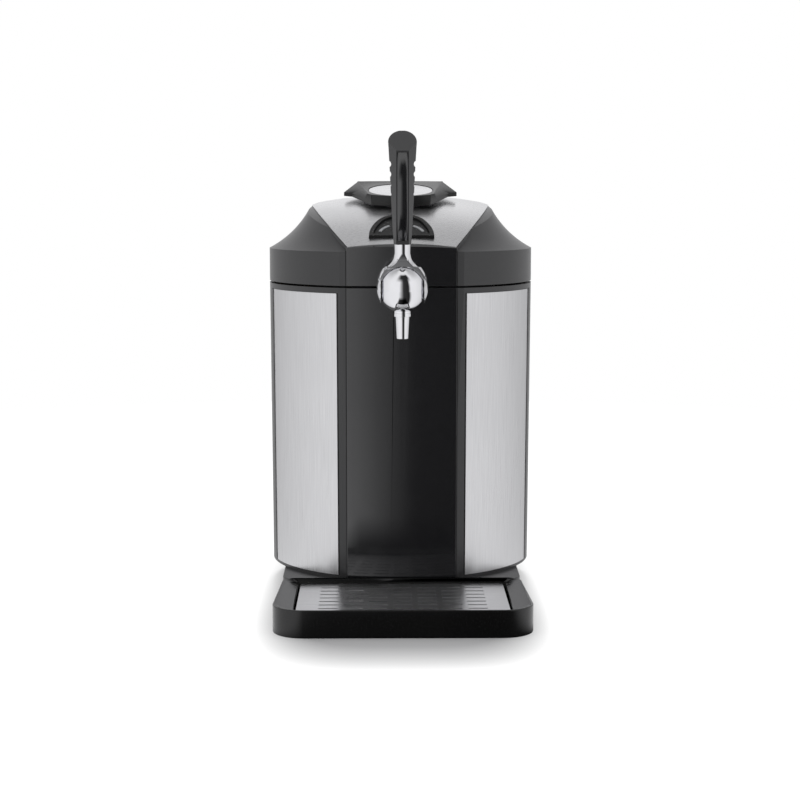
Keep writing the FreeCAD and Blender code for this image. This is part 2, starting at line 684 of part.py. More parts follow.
def bolt_way(side, gap):
    """The tilted channel of one latch bolt, widened by gap."""
    near, far = "(gear_pitch_r + 2.1)", "(gear_pitch_r + 2.1 + bolt_wide)"
    low, high = (near, far) if side == "right" else (f"-{far}", f"-{near}")
    bar = box(
        ("-150", f"{low} - {gap}", f"0.2 - {gap}"), ("150", f"{high} + {gap}", f"gear_thick - 0.2 + {gap}"),
    )
    shell = doc.addObject("Part::MultiFuse", "Way")
    shell.Shapes = [bar, box(("-150", low, "0.2"), ("-149", high, "1"))]
    return on_lid(shell, KNOB_Y, KNOB_TILT, "-latch_drop")


guides = [box((a, "-30", "322"), (b, "23", "352")) for a, b in (("-92", "-80"), ("80", "92"))]
gear_post = common(
    on_lid(rod("5", "16"), KNOB_Y, KNOB_TILT, "-latch_drop - 16.2"),
    slab("20", "-40", "40", "321", "360"),
)
pan_body = cut(fuse(pan, pan_rim, pan_rim_inner, gear_post, *guides), *pan_holes)
publish("lid_pan", cut(pan_body, bolt_way("right", "run_gap"), bolt_way("left", "run_gap")))
seal_plan = [
    ("keg_bore_r + 2.3", "320"),
    ("keg_bore_r + 2.3", "312.2"),
    ("keg_bore_r + 4.4", "deck_z + 1.8"),
    ("keg_bore_r + 5.6", "deck_z + 1.8"),
    ("keg_bore_r + 7.7", "312.2"),
    ("keg_bore_r + 7.7", "320"),
]
publish("lid_seal", turned(seal_plan))

# Knob with two swept wings that turns the latch gear under the lid.
def mirrored(front, right, back):
    """An outline from its front arc, the corners of its right side and its back arc."""
    (front_x, front_y, front_r), (back_x, back_y, back_r) = front, back
    left = [(f"-{x}", y) for x, y in reversed(right)]
    return [
        (f"-{front_x}", front_y, front_r),
        (front_x, front_y),
        *right,
        (back_x, back_y, back_r),
        (f"-{back_x}", back_y),
        *left,
    ]


WING_LOW = mirrored(
    ("30.2", "-30.5", "103.6"),
    [("37.7", "-14"), ("50.8", "15.6"), ("59.5", "20")],
    ("46.2", "49.4", "496"),
)
WING_HIGH = mirrored(
    ("30", "-27.9", "67.8"),
    [("34.5", "-22.5"), ("38.4", "8"), ("44.8", "46.4")],
    ("45.2", "48.6", "496"),
)
knob_base = prism(WING_LOW, "0", "knob_rim")
knob_top = lofted([("knob_rim", WING_LOW), ("knob_tall", WING_HIGH)])
knob_top.Tip.Ruled = True
knob_recess = rod("knob_disc_r + fit_gap", "8", 0, 0, "knob_tall - knob_disc_thick - 0.5")
drive_hole = rod("shaft_r + 0.05", "8", 0, 0, "-1")
knob = cut(fuse(knob_base, knob_top), knob_recess, drive_hole)


def seated(node, obj, rise, y=KNOB_Y, tilt=KNOB_TILT, x=0):
    """Publishes obj standing on the lid surface."""
    on_lid(obj, f"({y}) + ({AXIS_Y})", tilt, rise, x)
    drop = f"(crown_radius - sqrt(crown_radius ^ 2 - ({y} - crown_back) ^ 2))"
    lean = math.cos(math.radians(tilt))
    obj.setExpression("Placement.Base.z", link(f"crown_z - {drop} + ({rise}) * {lean:.6f}"))
    return publish(node, obj, shifted=False)


seated("lid_knob", knob, "knob_seat_thick")
seated(
    "knob_disc",
    rod("knob_disc_r", "knob_disc_thick"),
    "knob_seat_thick + knob_tall - knob_disc_thick - 0.5",
)
ring = cut(
    rod("knob_seat_r", "knob_seat_thick + 2.6 - 0.2"), rod("shaft_r + run_gap + 6", "20", 0, 0, "-5"),
)
seated("knob_seat_ring", ring, "-2.6")


def gear_outline(teeth, pitch, height):
    """A straight-flanked gear, with teeth to mesh a straight rack."""
    corners = []
    for n in range(teeth):
        for share, grow in ((-0.30, -1), (-0.14, 1), (0.14, 1), (0.30, -1)):
            angle = 360 * (n + share) / teeth
            reach = f"({pitch} + {grow} * {height})"
            corners.append((f"{reach} * cos({angle:.3f} * 1deg)", f"{reach} * sin({angle:.3f} * 1deg)"))
    return corners


TEETH = 12
RACK_PITCH = 2 * math.pi * val("gear_pitch_r") / TEETH
gear = prism(gear_outline(TEETH, "gear_pitch_r", "1.6"), "0", "gear_thick")
shaft = rod("shaft_r", "latch_drop + knob_seat_thick + 6.9", 0, 0, "0")
seated("latch_gear", fuse(gear, shaft), "-latch_drop")
BOLT_NEAR = "(gear_pitch_r + 2.1)"
for side, sign in (("left", -1), ("right", 1)):
    low = BOLT_NEAR if sign > 0 else f"-({BOLT_NEAR} + bolt_wide)"
    high = f"({BOLT_NEAR} + bolt_wide)" if sign > 0 else f"-{BOLT_NEAR}"
    ends = ("-24", "bolt_reach") if sign > 0 else ("-bolt_reach", "24")
    bar = box((ends[0], low, "0.2"), (ends[1], high, "gear_thick - 0.2"))
    combs = []
    for n in range(-4, 5):
        centre = (n + 0.5) * RACK_PITCH
        if abs(centre) > 22:
            continue
        root = f"({BOLT_NEAR} + 0.5) * {sign}"
        crest = f"(gear_pitch_r - 1.2) * {sign}"
        tooth = [
            (f"{centre - 1.15:.4f}", root),
            (f"{centre - 0.45:.4f}", crest),
            (f"{centre + 0.45:.4f}", crest),
            (f"{centre + 1.15:.4f}", root),
        ]
        combs.append(prism(tooth if sign < 0 else tooth[::-1], "0.2", "gear_thick - 0.2"))
    seated(f"latch_bolt_{side}", fuse(bar, *combs), "-latch_drop")

# Control panel on the front slope of the lid.
bezel_block = prism(control_plan("0"), "-6.5", "1.6")
bezel_lip = prism(control_plan("(-1.8)"), "-10", "-8")
bezel_neck = prism(control_plan("0"), "-8.5", "-6")
bezel_open = prism(control_plan("control_rim"), "-2.4", "5")
bezel_through = prism(control_plan("(control_rim + 2.4)"), "-12", "0")
bezel = cut(fuse(bezel_block, bezel_neck, bezel_lip), bezel_open, bezel_through)


KEY_Y = "(key_ring_y - control_long / 2)"
LENS_Y = "(key_ring_y + 9.5 - control_long / 2)"
KEY_ANGLES = {"left": (122.5, 166.5), "right": (13.5, 57.5)}


def curved_key(side, grow, low, high):
    """A slim curved key beside the display, widened all round by grow."""
    first, last = KEY_ANGLES[side]
    first, last = f"({first} - 2.4 * {grow})", f"({last} + 2.4 * {grow})"
    inner, outer = (f"(key_ring_r {sign} (key_wide / 2 + {grow}))" for sign in "-+")
    return prism([
        (f"{outer} * cos({first} * 1deg)", f"{KEY_Y} + {outer} * sin({first} * 1deg)", outer),
        (f"{outer} * cos({last} * 1deg)", f"{KEY_Y} + {outer} * sin({last} * 1deg)"),
        (f"{inner} * cos({last} * 1deg)", f"{KEY_Y} + {inner} * sin({last} * 1deg)", f"-{inner}"),
        (f"{inner} * cos({first} * 1deg)", f"{KEY_Y} + {inner} * sin({first} * 1deg)"),
    ], low, high)


fascia_plate = prism(control_plan("(control_rim + 0.2)"), "-2.4", "-0.4")
lens_room = rod("9.3", "20", 0, LENS_Y, "-12")
key_rooms = [curved_key(side, "fit_gap", "-12", "5") for side in KEY_ANGLES]
seated("control_bezel", bezel, "0", PANEL_Y, PANEL_TILT)
seated("control_fascia", cut(fascia_plate, lens_room, *key_rooms), "0", PANEL_Y, PANEL_TILT)
lens = fuse(
    rod("9", "1.7", 0, LENS_Y, "-2.1"),
    rod("9.1", "1.2", 0, LENS_Y, "-3.6"),
    rod("9", "2", 0, LENS_Y, "-3"),
)
seated("display_lens", lens, "0", PANEL_Y, PANEL_TILT)
for side in KEY_ANGLES:
    seated(f"button_{side}", curved_key(side, "0", "-3.4", "0.4"), "0", PANEL_Y, PANEL_TILT)
board = prism(control_plan("(control_rim + 2.8)"), "-9", "-7.4")
switch_posts = [rod("1.8", "2.6", x, f"{KEY_Y} + 13.5", "-7.4") for x in ("-18.6", "18.6")]
seated("control_board", fuse(board, *switch_posts), "0", PANEL_Y, PANEL_TILT)


# The tap: a ball body on a shank through the seam, a spout below it and a lever above it.
TAP_Y = "(-tap_reach)"
BALL_FOOT = "(tap_z - ball_r)"
tap_ball = common(
    ball("ball_r", 0, TAP_Y, "tap_z"),
    slab("ball_flat", "-tap_reach - 30", "-tap_reach + 30", "tap_z - 30", "tap_z + 30"),
)
tap_neck = rod("spout_r + 1.2", "12", 0, TAP_Y, f"{BALL_FOOT} - 0.6")
shank = rod("shank_r", "tap_reach - 108 - 12", 0, "-tap_reach + 12", "tap_z", "Y")
shank_collar = rod("shank_r + 3.5", "8", 0, "-tap_reach + 44", "tap_z", "Y")
tail_barb = rod("4.5", "6.5", 0, "-109", "tap_z - 4", "Y")
valve_bore = rod("plunger_r + run_gap", f"tap_z - 3.4 - {BALL_FOOT} + 2", 0, TAP_Y, f"{BALL_FOOT} - 2")
flow_bore = rod("2.6", "tap_reach - 80", 0, "-tap_reach + 3.3", "tap_z - 4", "Y")
pin_room = rod("3 + pin_gap", "60", "-30", TAP_Y, "tap_z", "X")
publish(
    "tap_body",
    cut(fuse(tap_ball, tap_neck, shank, shank_collar, tail_barb), valve_bore, flow_bore, pin_room),
)
escutcheon = cut(
    turned([("0", "0"), ("17", "0"), ("17", "1.4"), ("13.5", "4"), ("0", "4")]),
    rod("shank_r + 0.1", "20", 0, 0, "-5"),
)
place(escutcheon, 0, "-bay_depth - panel_edge_thick - 3.2", "tap_z", V(1, 0, 0), "90")
publish("tap_escutcheon", escutcheon)
nut_corners = [(f"11 * cos({60 * n} * 1deg)", f"11 * sin({60 * n} * 1deg)") for n in range(6)]
nut = prism(nut_corners, "bay_depth - body_wall - 8.3", "bay_depth - body_wall", "XZ_Plane")
place(nut, 0, 0, "tap_z")
publish("tap_nut", cut(nut, rod("shank_r + 0.05", 40, 0, "-130", "tap_z", "Y")))

SPOUT_ROOT = f"({BALL_FOOT} - 3.8 - spout_tip_z)"
spout = turned([
    ("spout_bore", "0"),
    ("spout_tip_r", "0"),
    ("spout_r", SPOUT_ROOT),
    ("spout_flange_r", SPOUT_ROOT),
    ("spout_flange_r", f"{SPOUT_ROOT} + 3.2"),
    ("spout_bore", f"{SPOUT_ROOT} + 3.2"),
])
publish("spout", place(spout, 0, TAP_Y, "spout_tip_z"))
publish("valve_plunger", fuse(
    rod("plunger_r", "11", 0, TAP_Y, "tap_z - 21"),
    rod("plunger_r - 1", "20", 0, TAP_Y, "tap_z - 39"),
))
publish("lever_pivot_pin", rod("3", "2 * 22.6", "-22.6", TAP_Y, "tap_z", "X"))

# Lever: two side caps on the pivot pin, an arch over the ball, a hollow-curved neck and the handle.
caps = common(
    ball("yoke_r", 0, TAP_Y, "tap_z"),
    slab("30", "-tap_reach - 30", "-tap_reach + 30", "tap_z - 30", "tap_z + 30"),
)
caps = cut(
    caps, slab("ball_flat + yoke_gap", "-tap_reach - 40", "-tap_reach + 40", "tap_z - 40", "tap_z + 40"),
)
HANDLE_FOOT = "(handle_foot_z - tap_z)"
hood = turned([
    ("0", "8"),
    ("24.2", "8", "26"),
    ("17.8", "21", "-11.5"),
    ("8.5", "29.5"),
    ("neck_r", "33.5"),
    ("neck_r", HANDLE_FOOT),
    ("4", HANDLE_FOOT),
    ("4", f"{HANDLE_FOOT} + 24"),
    ("0", f"{HANDLE_FOOT} + 24"),
])
place(hood, 0, TAP_Y, "tap_z")
side_view = prism([
    ("(-0.87) * hood_half", "0"),
    ("0.87 * hood_half", "0"),
    ("hood_half", "19", "24"),
    ("neck_r + 0.05", "27"),
    ("neck_r + 0.05", "80"),
    ("-neck_r - 0.05", "80"),
    ("-neck_r - 0.05", "27", "24"),
    ("-hood_half", "19"),
], "-30", "30", "YZ_Plane")
arch = common(hood, place(side_view, 0, TAP_Y, "tap_z"))
lever = cut(
    fuse(caps, arch),
    ball("ball_r + yoke_gap", 0, TAP_Y, "tap_z"),
    rod("3 + pin_gap", "2 * 22.8", "-22.8", TAP_Y, "tap_z", "X"),
)
publish("lever_yoke", lever)


def grip_plan(half, front, middle):
    """The plan of the handle: narrow flat front, slanted sides and a half-round back."""
    return [
        ("-grip_flat", f"-{front}"),
        ("grip_flat", f"-{front}"),
        (half, middle, half),
        ("0", f"{middle} + {half}", half),
        (f"-{half}", middle),
    ]


HANDLE_HEIGHT = "(handle_top_z - handle_foot_z)"
STRIP_TOP = f"({HANDLE_HEIGHT} - 20.6)"
handle_form = lofted([
    ("0", grip_plan("8.3", "7.6", "0")),
    (f"0.35 * {HANDLE_HEIGHT}", grip_plan("10.5", "9", "(-0.4)")),
    (f"0.68 * {HANDLE_HEIGHT}", grip_plan("12.2", "10.4", "(-0.9)")),
    (HANDLE_HEIGHT, grip_plan("14.3", "12", "(-1.6)")),
])
top_trim = box(("0", "0", "0"), ("40", "62", "30"))
top_trim.Placement = FreeCAD.Placement(V(0, 0, 0), FreeCAD.Rotation(V(1, 0, 0), 39))
place(top_trim, "-20", "-29", f"{HANDLE_HEIGHT} - 33.6")
scallops = []
for n in range(5):
    sink = f"(12.4 - {n} * 0.42 + 3.4 - 1.7 + {n} * 0.35)"
    height = f"({HANDLE_HEIGHT} - 31.5 - {n} * 9.5)"
    scallops += [rod("3.4", "40", f"{sign}{sink}", "-16", height, "Y") for sign in ("-", "")]
strip_slot = slab("strip_half + 0.2", "-20", "-5.8", "3", STRIP_TOP)
handle = cut(handle_form, strip_slot, top_trim, rod("4.1", "24.5", 0, 0, "-0.5"), *scallops)
inlay = common(handle_form, slab("strip_half", "-20", "-6", "3.2", f"{STRIP_TOP} - 0.2"))
for node, obj in (("tap_handle", handle), ("handle_inlay", inlay)):
    publish(node, place(obj, 0, TAP_Y, "handle_foot_z"))


# Keg chamber: aluminium liner in a foam jacket, closed above by the deck.
LINER_OUT = "(keg_bore_r + liner_wall)"
publish("keg_liner", turned([
    ("0", "liner_floor_z - liner_wall"),
    (LINER_OUT, "liner_floor_z - liner_wall"),
    (LINER_OUT, "deck_z"),
    ("keg_bore_r + 8.5", "deck_z"),
    ("keg_bore_r + 8.5", "deck_z + 1.5"),
    ("keg_bore_r", "deck_z + 1.5"),
    ("keg_bore_r", "liner_floor_z"),
    ("0", "liner_floor_z"),
]))
foam_block = prism(body_plan(FOAM_EDGE), "body_floor_z + shell_wall", "deck_z - 6")
foam_back = slab("body_radius", "cold_back + chip_thick - 0.3", "body_radius + 5", "body_floor_z", "deck_z")
liner_room = rod(f"{LINER_OUT} + fit_gap", "300", 0, 0, "liner_floor_z - liner_wall")
block_room = slab(
    "cold_half + fit_gap",
    "60",
    "140",
    "cold_mid_z - cold_half - fit_gap",
    "cold_mid_z + cold_half + fit_gap",
)
gas_room = rod(
    "gas_sleeve_r + fit_gap", "gas_sleeve_long + 5", "gas_x", "gas_y", "deck_z - gas_sleeve_long - 0.3",
)
publish("insulation", cut(foam_block, foam_back, liner_room, block_room, gas_room))

deck_plate = prism(body_plan(FOAM_EDGE), "deck_z - 6", "deck_z")
deck_trim = slab("body_radius", "cold_back + chip_thick + 20", "rear_reach", "deck_z - 20", "deck_z + 10")
deck = cut(
    deck_plate, deck_trim,
    rod(f"{LINER_OUT} + fit_gap", "20", 0, 0, "deck_z - 10"),
    rod("gas_sleeve_r - 1", "20", "gas_x", "gas_y", "deck_z - 10"),
)
publish("top_deck", deck)
for side, low_x, low_y in (("left", "-bolt_reach - 11", "-28"), ("right", "bolt_reach + 5", "3")):
    post = box((low_x, low_y, "deck_z"), (f"{low_x} + 6", f"{low_y} + 21", "collar_top_z - 1.5"))
    publish(f"latch_keeper_{side}", cut(post, bolt_way(side, "0.5")))

# Gas supply: a screwed cartridge in its sleeve, with a regulator cap and pressure knob on the deck.
sleeve = cut(
    rod("gas_sleeve_r", "gas_sleeve_long - 6", "gas_x", "gas_y", "deck_z - gas_sleeve_long"),
    rod("gas_sleeve_r - 2", "gas_sleeve_long", "gas_x", "gas_y", "deck_z - gas_sleeve_long + 2"),
)
publish("gas_sleeve", sleeve)
cartridge = turned([
    ("0", "0"),
    ("7", "0", "5"),
    ("11", "5"),
    ("11", "64", "15"),
    ("4.4", "77"),
    ("4.4", "88"),
    ("0", "88"),
])
publish("gas_cartridge", place(cartridge, "gas_x", "gas_y", "deck_z - gas_sleeve_long + 2.2"))
cap = cut(
    fuse(
        rod("gas_sleeve_r - 0.1", "12", "gas_x", "gas_y", "deck_z"),
        rod("gas_sleeve_r - 1.4", "7", "gas_x", "gas_y", "deck_z - 6"),
    ),
    rod("4.7", "10", "gas_x", "gas_y", "deck_z - 8"),
)
outlet = rod("3.2", "gas_sleeve_r + 12", "gas_x", "gas_y - gas_sleeve_r - 12", "deck_z + 6", "Y")
publish("gas_regulator", fuse(cap, outlet))
grips = [
    rod(
        "2.2",
        "20",
        f"gas_x + (gas_knob_r + 1.2) * cos({a} * 1deg)",
        f"gas_y + (gas_knob_r + 1.2) * sin({a} * 1deg)",
        "deck_z + 10",
    )
    for a in range(0, 360, 45)
]
publish("regulator_knob", cut(rod("gas_knob_r", "9", "gas_x", "gas_y", "deck_z + 12.2"), *grips))

# Cooling stack behind the chamber: cold block, thermoelectric chip, finned sink and fan.
cold_block = cut(
    slab("cold_half", "70", "cold_back", "cold_mid_z - cold_half", "cold_mid_z + cold_half"),
    rod(f"{LINER_OUT} + 0.05", "200", 0, 0, "cold_mid_z - 100"),
)
publish("cold_block", cold_block)
publish(
    "cooling_chip",
    slab(
        "chip_half",
        "cold_back",
        "cold_back + chip_thick",
        "cold_mid_z - chip_half",
        "cold_mid_z + chip_half",
    ),
)
sink_plate = slab(
    "sink_half",
    "cold_back + chip_thick",
    "cold_back + chip_thick + sink_base",
    "cold_mid_z - sink_half",
    "cold_mid_z + sink_half",
)
fins = [
    box(
        (f"{x} - 1", "cold_back + chip_thick + sink_base", "cold_mid_z - sink_half"),
        (f"{x} + 1", SINK_BACK, "cold_mid_z + sink_half"),
    )
    for x in range(-48, 49, 8)
]
publish("heat_sink", fuse(sink_plate, *fins))
fan_box = slab(
    "fan_half", SINK_BACK, f"{SINK_BACK} + fan_deep", "cold_mid_z - fan_half", "cold_mid_z + fan_half",
)
fan_hole = rod("fan_bore_r", "60", 0, f"{SINK_BACK} - 10", "cold_mid_z", "Y")
fan_spider = [
    rod("fan_hub_r", "3", 0, f"{SINK_BACK} + fan_deep - 3", "cold_mid_z", "Y"),
    slab(
        "fan_half - 1",
        f"{SINK_BACK} + fan_deep - 3",
        f"{SINK_BACK} + fan_deep",
        "cold_mid_z - 2",
        "cold_mid_z + 2",
    ),
    slab(
        "2",
        f"{SINK_BACK} + fan_deep - 3",
        f"{SINK_BACK} + fan_deep",
        "cold_mid_z - fan_half + 1",
        "cold_mid_z + fan_half - 1",
    ),
]
fan_axle = rod("2", "fan_deep - 5", 0, f"{SINK_BACK} + 4", "cold_mid_z", "Y")
publish("fan_frame", fuse(cut(fan_box, fan_hole), *fan_spider, fan_axle))
hub = cut(
    rod("fan_hub_r", "fan_deep - 6.5", 0, f"{SINK_BACK} + 2", "cold_mid_z", "Y"),
    rod("2 + pin_gap", "fan_deep", 0, f"{SINK_BACK} + 3.8", "cold_mid_z", "Y"),
)
blades = []
for n in range(7):
    blade = doc.addObject("Part::Box", "Blade")
    bind(blade, {"Length": "fan_bore_r - fan_hub_r - 0.5", "Width": "13", "Height": "1.6"})
    turn = FreeCAD.Rotation(V(0, 1, 0), n * 360 / 7).multiply(FreeCAD.Rotation(V(1, 0, 0), 42))
    arm = turn.multVec(V(0, -6.5, -0.8))
    blade.Placement = FreeCAD.Placement(V(0, 0, 0), turn)
    direction = FreeCAD.Rotation(V(0, 1, 0), n * 360 / 7).multVec(V(1, 0, 0))
    place(
        blade,
        f"{direction.x:.6f} * (fan_hub_r - 1) + {arm.x:.6f}",
        f"{SINK_BACK} + 8.5 + {arm.y:.6f}",
        f"cold_mid_z + {direction.z:.6f} * (fan_hub_r - 1) + {arm.z:.6f}",
    )
    blades.append(blade)
publish("fan_rotor", fuse(hub, *blades))

# Rear cover with its vents, power inlet and rocker switch.
INLET_X, SWITCH_X, POWER_Z = "-32", "30", "62"
cover = slab("78", COVER_FACE, "rear_reach", "body_floor_z + 5", "body_top_z - 8")
vents = [
    slab(
        "34",
        f"{COVER_FACE} - 1",
        "rear_reach + 1",
        f"cold_mid_z + {n * 9} - 2.2",
        f"cold_mid_z + {n * 9} + 2.2",
    )
    for n in range(-5, 6)
]
lower_vents = [
    slab("34", f"{COVER_FACE} - 1", "rear_reach + 1", f"107 + {n * 9} - 2.2", f"107 + {n * 9} + 2.2")
    for n in range(2)
]
inlet_hole = box(
    (f"{INLET_X} - 14.2", f"{COVER_FACE} - 1", f"{POWER_Z} - 10.2"),
    (f"{INLET_X} + 14.2", "rear_reach + 1", f"{POWER_Z} + 10.2"),
)
switch_hole = box(
    (f"{SWITCH_X} - 8.2", f"{COVER_FACE} - 1", f"{POWER_Z} - 12.2"),
    (f"{SWITCH_X} + 8.2", "rear_reach + 1", f"{POWER_Z} + 12.2"),
)
publish("rear_cover", cut(cover, *vents, *lower_vents, inlet_hole, switch_hole))
inlet = fuse(
    box(
        (f"{INLET_X} - 13.9", "rear_reach - 22", f"{POWER_Z} - 9.9"),
        (f"{INLET_X} + 13.9", "rear_reach - 0.3", f"{POWER_Z} + 9.9"),
    ),
    box(
        (f"{INLET_X} - 19", f"{COVER_FACE} - 3", f"{POWER_Z} - 13"),
        (f"{INLET_X} + 19", COVER_FACE, f"{POWER_Z} + 13"),
    ),
)
inlet_mouth = box(
    (f"{INLET_X} - 12", "rear_reach - 17", f"{POWER_Z} - 8"),
    (f"{INLET_X} + 12", "rear_reach + 1", f"{POWER_Z} + 8"),
)
pins = [
    box(
        (f"{INLET_X} + {dx} - 1", "rear_reach - 18", f"{POWER_Z} + {dz} - 2"),
        (f"{INLET_X} + {dx} + 1", "rear_reach - 3", f"{POWER_Z} + {dz} + 2"),
    )
    for dx, dz in (("(-7)", "(-2)"), ("0", "3"), ("7", "(-2)"))
]
publish("power_inlet", fuse(cut(inlet, inlet_mouth), *pins))
switch_case = cut(
    fuse(
        box(
            (f"{SWITCH_X} - 7.9", "rear_reach - 20", f"{POWER_Z} - 11.9"),
            (f"{SWITCH_X} + 7.9", "rear_reach - 1.2", f"{POWER_Z} + 11.9"),
        ),
        box(
            (f"{SWITCH_X} - 11", f"{COVER_FACE} - 3", f"{POWER_Z} - 15"),
            (f"{SWITCH_X} + 11", COVER_FACE, f"{POWER_Z} + 15"),
        ),
    ),
    box(
        (f"{SWITCH_X} - 6.2", "rear_reach - 16", f"{POWER_Z} - 10.4"),
        (f"{SWITCH_X} + 6.2", "rear_reach + 1", f"{POWER_Z} + 10.4"),
    ),
    rod("1.5 + pin_gap", "14.8", f"{SWITCH_X} - 7.4", "rear_reach - 8", POWER_Z, "X"),
)
publish("power_switch_case", switch_case)
rocker_form = prism([
    ("-9.6", "-3", ),
    ("9.6", "-3"),
    ("9.6", "3.2"),
    ("8.6", "5.2", "-26"),
    ("-8.6", "5.2"),
    ("-9.6", "3.2"),
], f"{SWITCH_X} - 6", f"{SWITCH_X} + 6")
rocker_pin = rod("1.5", "14.4", 0, 0, f"{SWITCH_X} - 7.2")
rocker = fuse(rocker_form, rocker_pin)
rocker.Placement = FreeCAD.Placement(V(0, 0, 0), FreeCAD.Rotation(V(0, 1, 0), 90))
publish("power_rocker", place(rocker, 0, "rear_reach - 8", POWER_Z))

# Power board on four posts over the floor of the housing.
board_posts = [
    rod("3.5", "9.2", x, y, "body_floor_z + shell_wall")
    for x in ("-52", "52") for y in ("rear_reach - 60", "rear_reach - 28")
]
board_plate = slab(
    "58", "rear_reach - 65", "rear_reach - 23",
    "body_floor_z + shell_wall + 9", "body_floor_z + shell_wall + 10.6",
)
BOARD_TOP = "(body_floor_z + shell_wall + 10.4)"
board_items = [
    box(("-50", "rear_reach - 60", BOARD_TOP), ("-14", "rear_reach - 30", f"{BOARD_TOP} + 27")),
    rod("6", "24", "2", "rear_reach - 54", BOARD_TOP),
    rod("6", "24", "2", "rear_reach - 38", BOARD_TOP),
    box(("16", "rear_reach - 60", BOARD_TOP), ("34", "rear_reach - 56", f"{BOARD_TOP} + 26")),
    box(("18", "rear_reach - 48", BOARD_TOP), ("46", "rear_reach - 30", f"{BOARD_TOP} + 14")),
]
publish("power_board", fuse(board_plate, *board_posts, *board_items))


# Hinge: a bracket with two knuckles on the body and two lugs on the lid share one long pin.
def barrel_with_web(low_x, high_x, web, bore):
    """A hinge barrel between two x positions, on its web, bored for the pin."""
    barrel = rod(
        "hinge_barrel_r", f"({high_x}) - ({low_x})", low_x, HINGE_Y, "hinge_z", "X",
    )
    return cut(fuse(barrel, web), rod(bore, 140, "-70", HINGE_Y, "hinge_z", "X"))


strap = slab(
    "64",
    f"{HINGE_Y} - hinge_barrel_r",
    f"{HINGE_Y} + hinge_barrel_r",
    "body_top_z",
    "body_top_z + 2",
)
knuckles = [strap]
for low_x in ("-64", "44"):
    web = box(
        (low_x, f"{HINGE_Y} - hinge_barrel_r", "body_top_z"),
        (f"{low_x} + 20", f"{HINGE_Y} + hinge_barrel_r", "hinge_z"),
    )
    knuckles.append(barrel_with_web(low_x, f"{low_x} + 20", web, "hinge_pin_r + pin_gap"))
publish("hinge_bracket", fuse(*knuckles))
for side, low_x, high_x in (("left", "-43.7", "-26"), ("right", "26", "43.7")):
    web = box(
        (low_x, LUG_FACE_Y, "hinge_z - hinge_barrel_r"),
        (high_x, HINGE_Y, "hinge_z + hinge_barrel_r"),
    )
    publish(f"lid_lug_{side}", barrel_with_web(low_x, high_x, web, "hinge_pin_r + 0.02"))
publish("hinge_pin", rod("hinge_pin_r", "130", "-65", HINGE_Y, "hinge_z", "X"))


# Every sub-part is checked, then written out.
doc.recompute()
for obj in doc.Objects:
    if "Invalid" in obj.State or "Error" in obj.State:
        raise RuntimeError(f"{obj.Name} ({obj.Label}) is {obj.State}")
os.makedirs("parts", exist_ok=True)
for node, obj in parts.items():
    shape = obj.Shape
    if shape.isNull() or not shape.isValid() or not shape.Solids:
        raise RuntimeError(f"{node} has no valid solid")
    shape.exportStep(f"parts/{node}.step")
    print(f"{node}: {len(shape.Solids)} solid, {shape.Volume / 1000:.1f} cm3")
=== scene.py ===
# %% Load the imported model
import json
import math

import bmesh
import bpy
from mathutils import Matrix, Vector

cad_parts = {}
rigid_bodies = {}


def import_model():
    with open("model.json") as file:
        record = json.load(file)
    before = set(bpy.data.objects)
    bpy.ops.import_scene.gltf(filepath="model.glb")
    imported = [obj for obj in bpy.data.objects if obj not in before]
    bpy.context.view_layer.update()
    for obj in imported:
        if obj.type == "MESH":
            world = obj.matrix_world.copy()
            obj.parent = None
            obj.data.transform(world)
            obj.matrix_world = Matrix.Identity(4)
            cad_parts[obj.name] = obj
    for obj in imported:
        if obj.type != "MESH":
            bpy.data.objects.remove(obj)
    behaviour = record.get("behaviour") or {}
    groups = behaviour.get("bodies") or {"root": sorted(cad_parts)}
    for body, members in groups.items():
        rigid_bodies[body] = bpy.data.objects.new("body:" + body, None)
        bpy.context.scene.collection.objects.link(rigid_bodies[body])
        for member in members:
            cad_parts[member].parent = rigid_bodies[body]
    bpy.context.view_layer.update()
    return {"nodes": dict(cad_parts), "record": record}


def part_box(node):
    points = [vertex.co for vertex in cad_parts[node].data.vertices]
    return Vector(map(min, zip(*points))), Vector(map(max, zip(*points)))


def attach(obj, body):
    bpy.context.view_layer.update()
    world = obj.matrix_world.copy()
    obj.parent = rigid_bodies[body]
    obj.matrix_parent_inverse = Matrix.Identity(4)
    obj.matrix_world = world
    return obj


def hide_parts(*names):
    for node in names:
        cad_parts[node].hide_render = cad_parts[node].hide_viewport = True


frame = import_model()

nodes = frame["nodes"]

# %% A helper that puts a new object in the scene
def link_new(name, data):
    """A new object at the origin, in the scene's own collection."""
    made = bpy.data.objects.new(name, data)
    bpy.context.scene.collection.objects.link(made)
    return made


print("object helper ready")

# %% [markdown]
# ## The studio
# A counter-top beer cooler is mostly dark plastic, steel and chrome, so it shows its surroundings
# more than its own colour. The room is therefore built first: a pale floor, a white world, two tall
# soft boxes at the sides that model the shell, and one high at the back for the top faces.
# The camera stands in front of the tap, a little above the lid, and looks slightly down. Its lens is
# 1800 pixels long for a render 800 pixels wide, and the horizon lies 220 pixels above the middle.

# %% Camera
SENSOR_WIDTH, RENDER_WIDTH, LENS_PIXELS, HORIZON_PIXELS = 36, 800, 1800, 220
CAMERA_PITCH = math.atan(HORIZON_PIXELS / LENS_PIXELS)
CAMERA_TURN = -0.01025
camera_data = bpy.data.cameras.new("camera")
camera_data.sensor_width = SENSOR_WIDTH
camera_data.lens = SENSOR_WIDTH * LENS_PIXELS / RENDER_WIDTH
camera_data.clip_end = 100
camera = link_new("camera", camera_data)
bpy.context.scene.camera = camera
camera.location = (-0.01986, -1.8484, 0.4216)
camera.rotation_euler = (math.radians(90) - CAMERA_PITCH, 0, CAMERA_TURN)
print("camera leans down", round(math.degrees(CAMERA_PITCH), 2), "degrees")

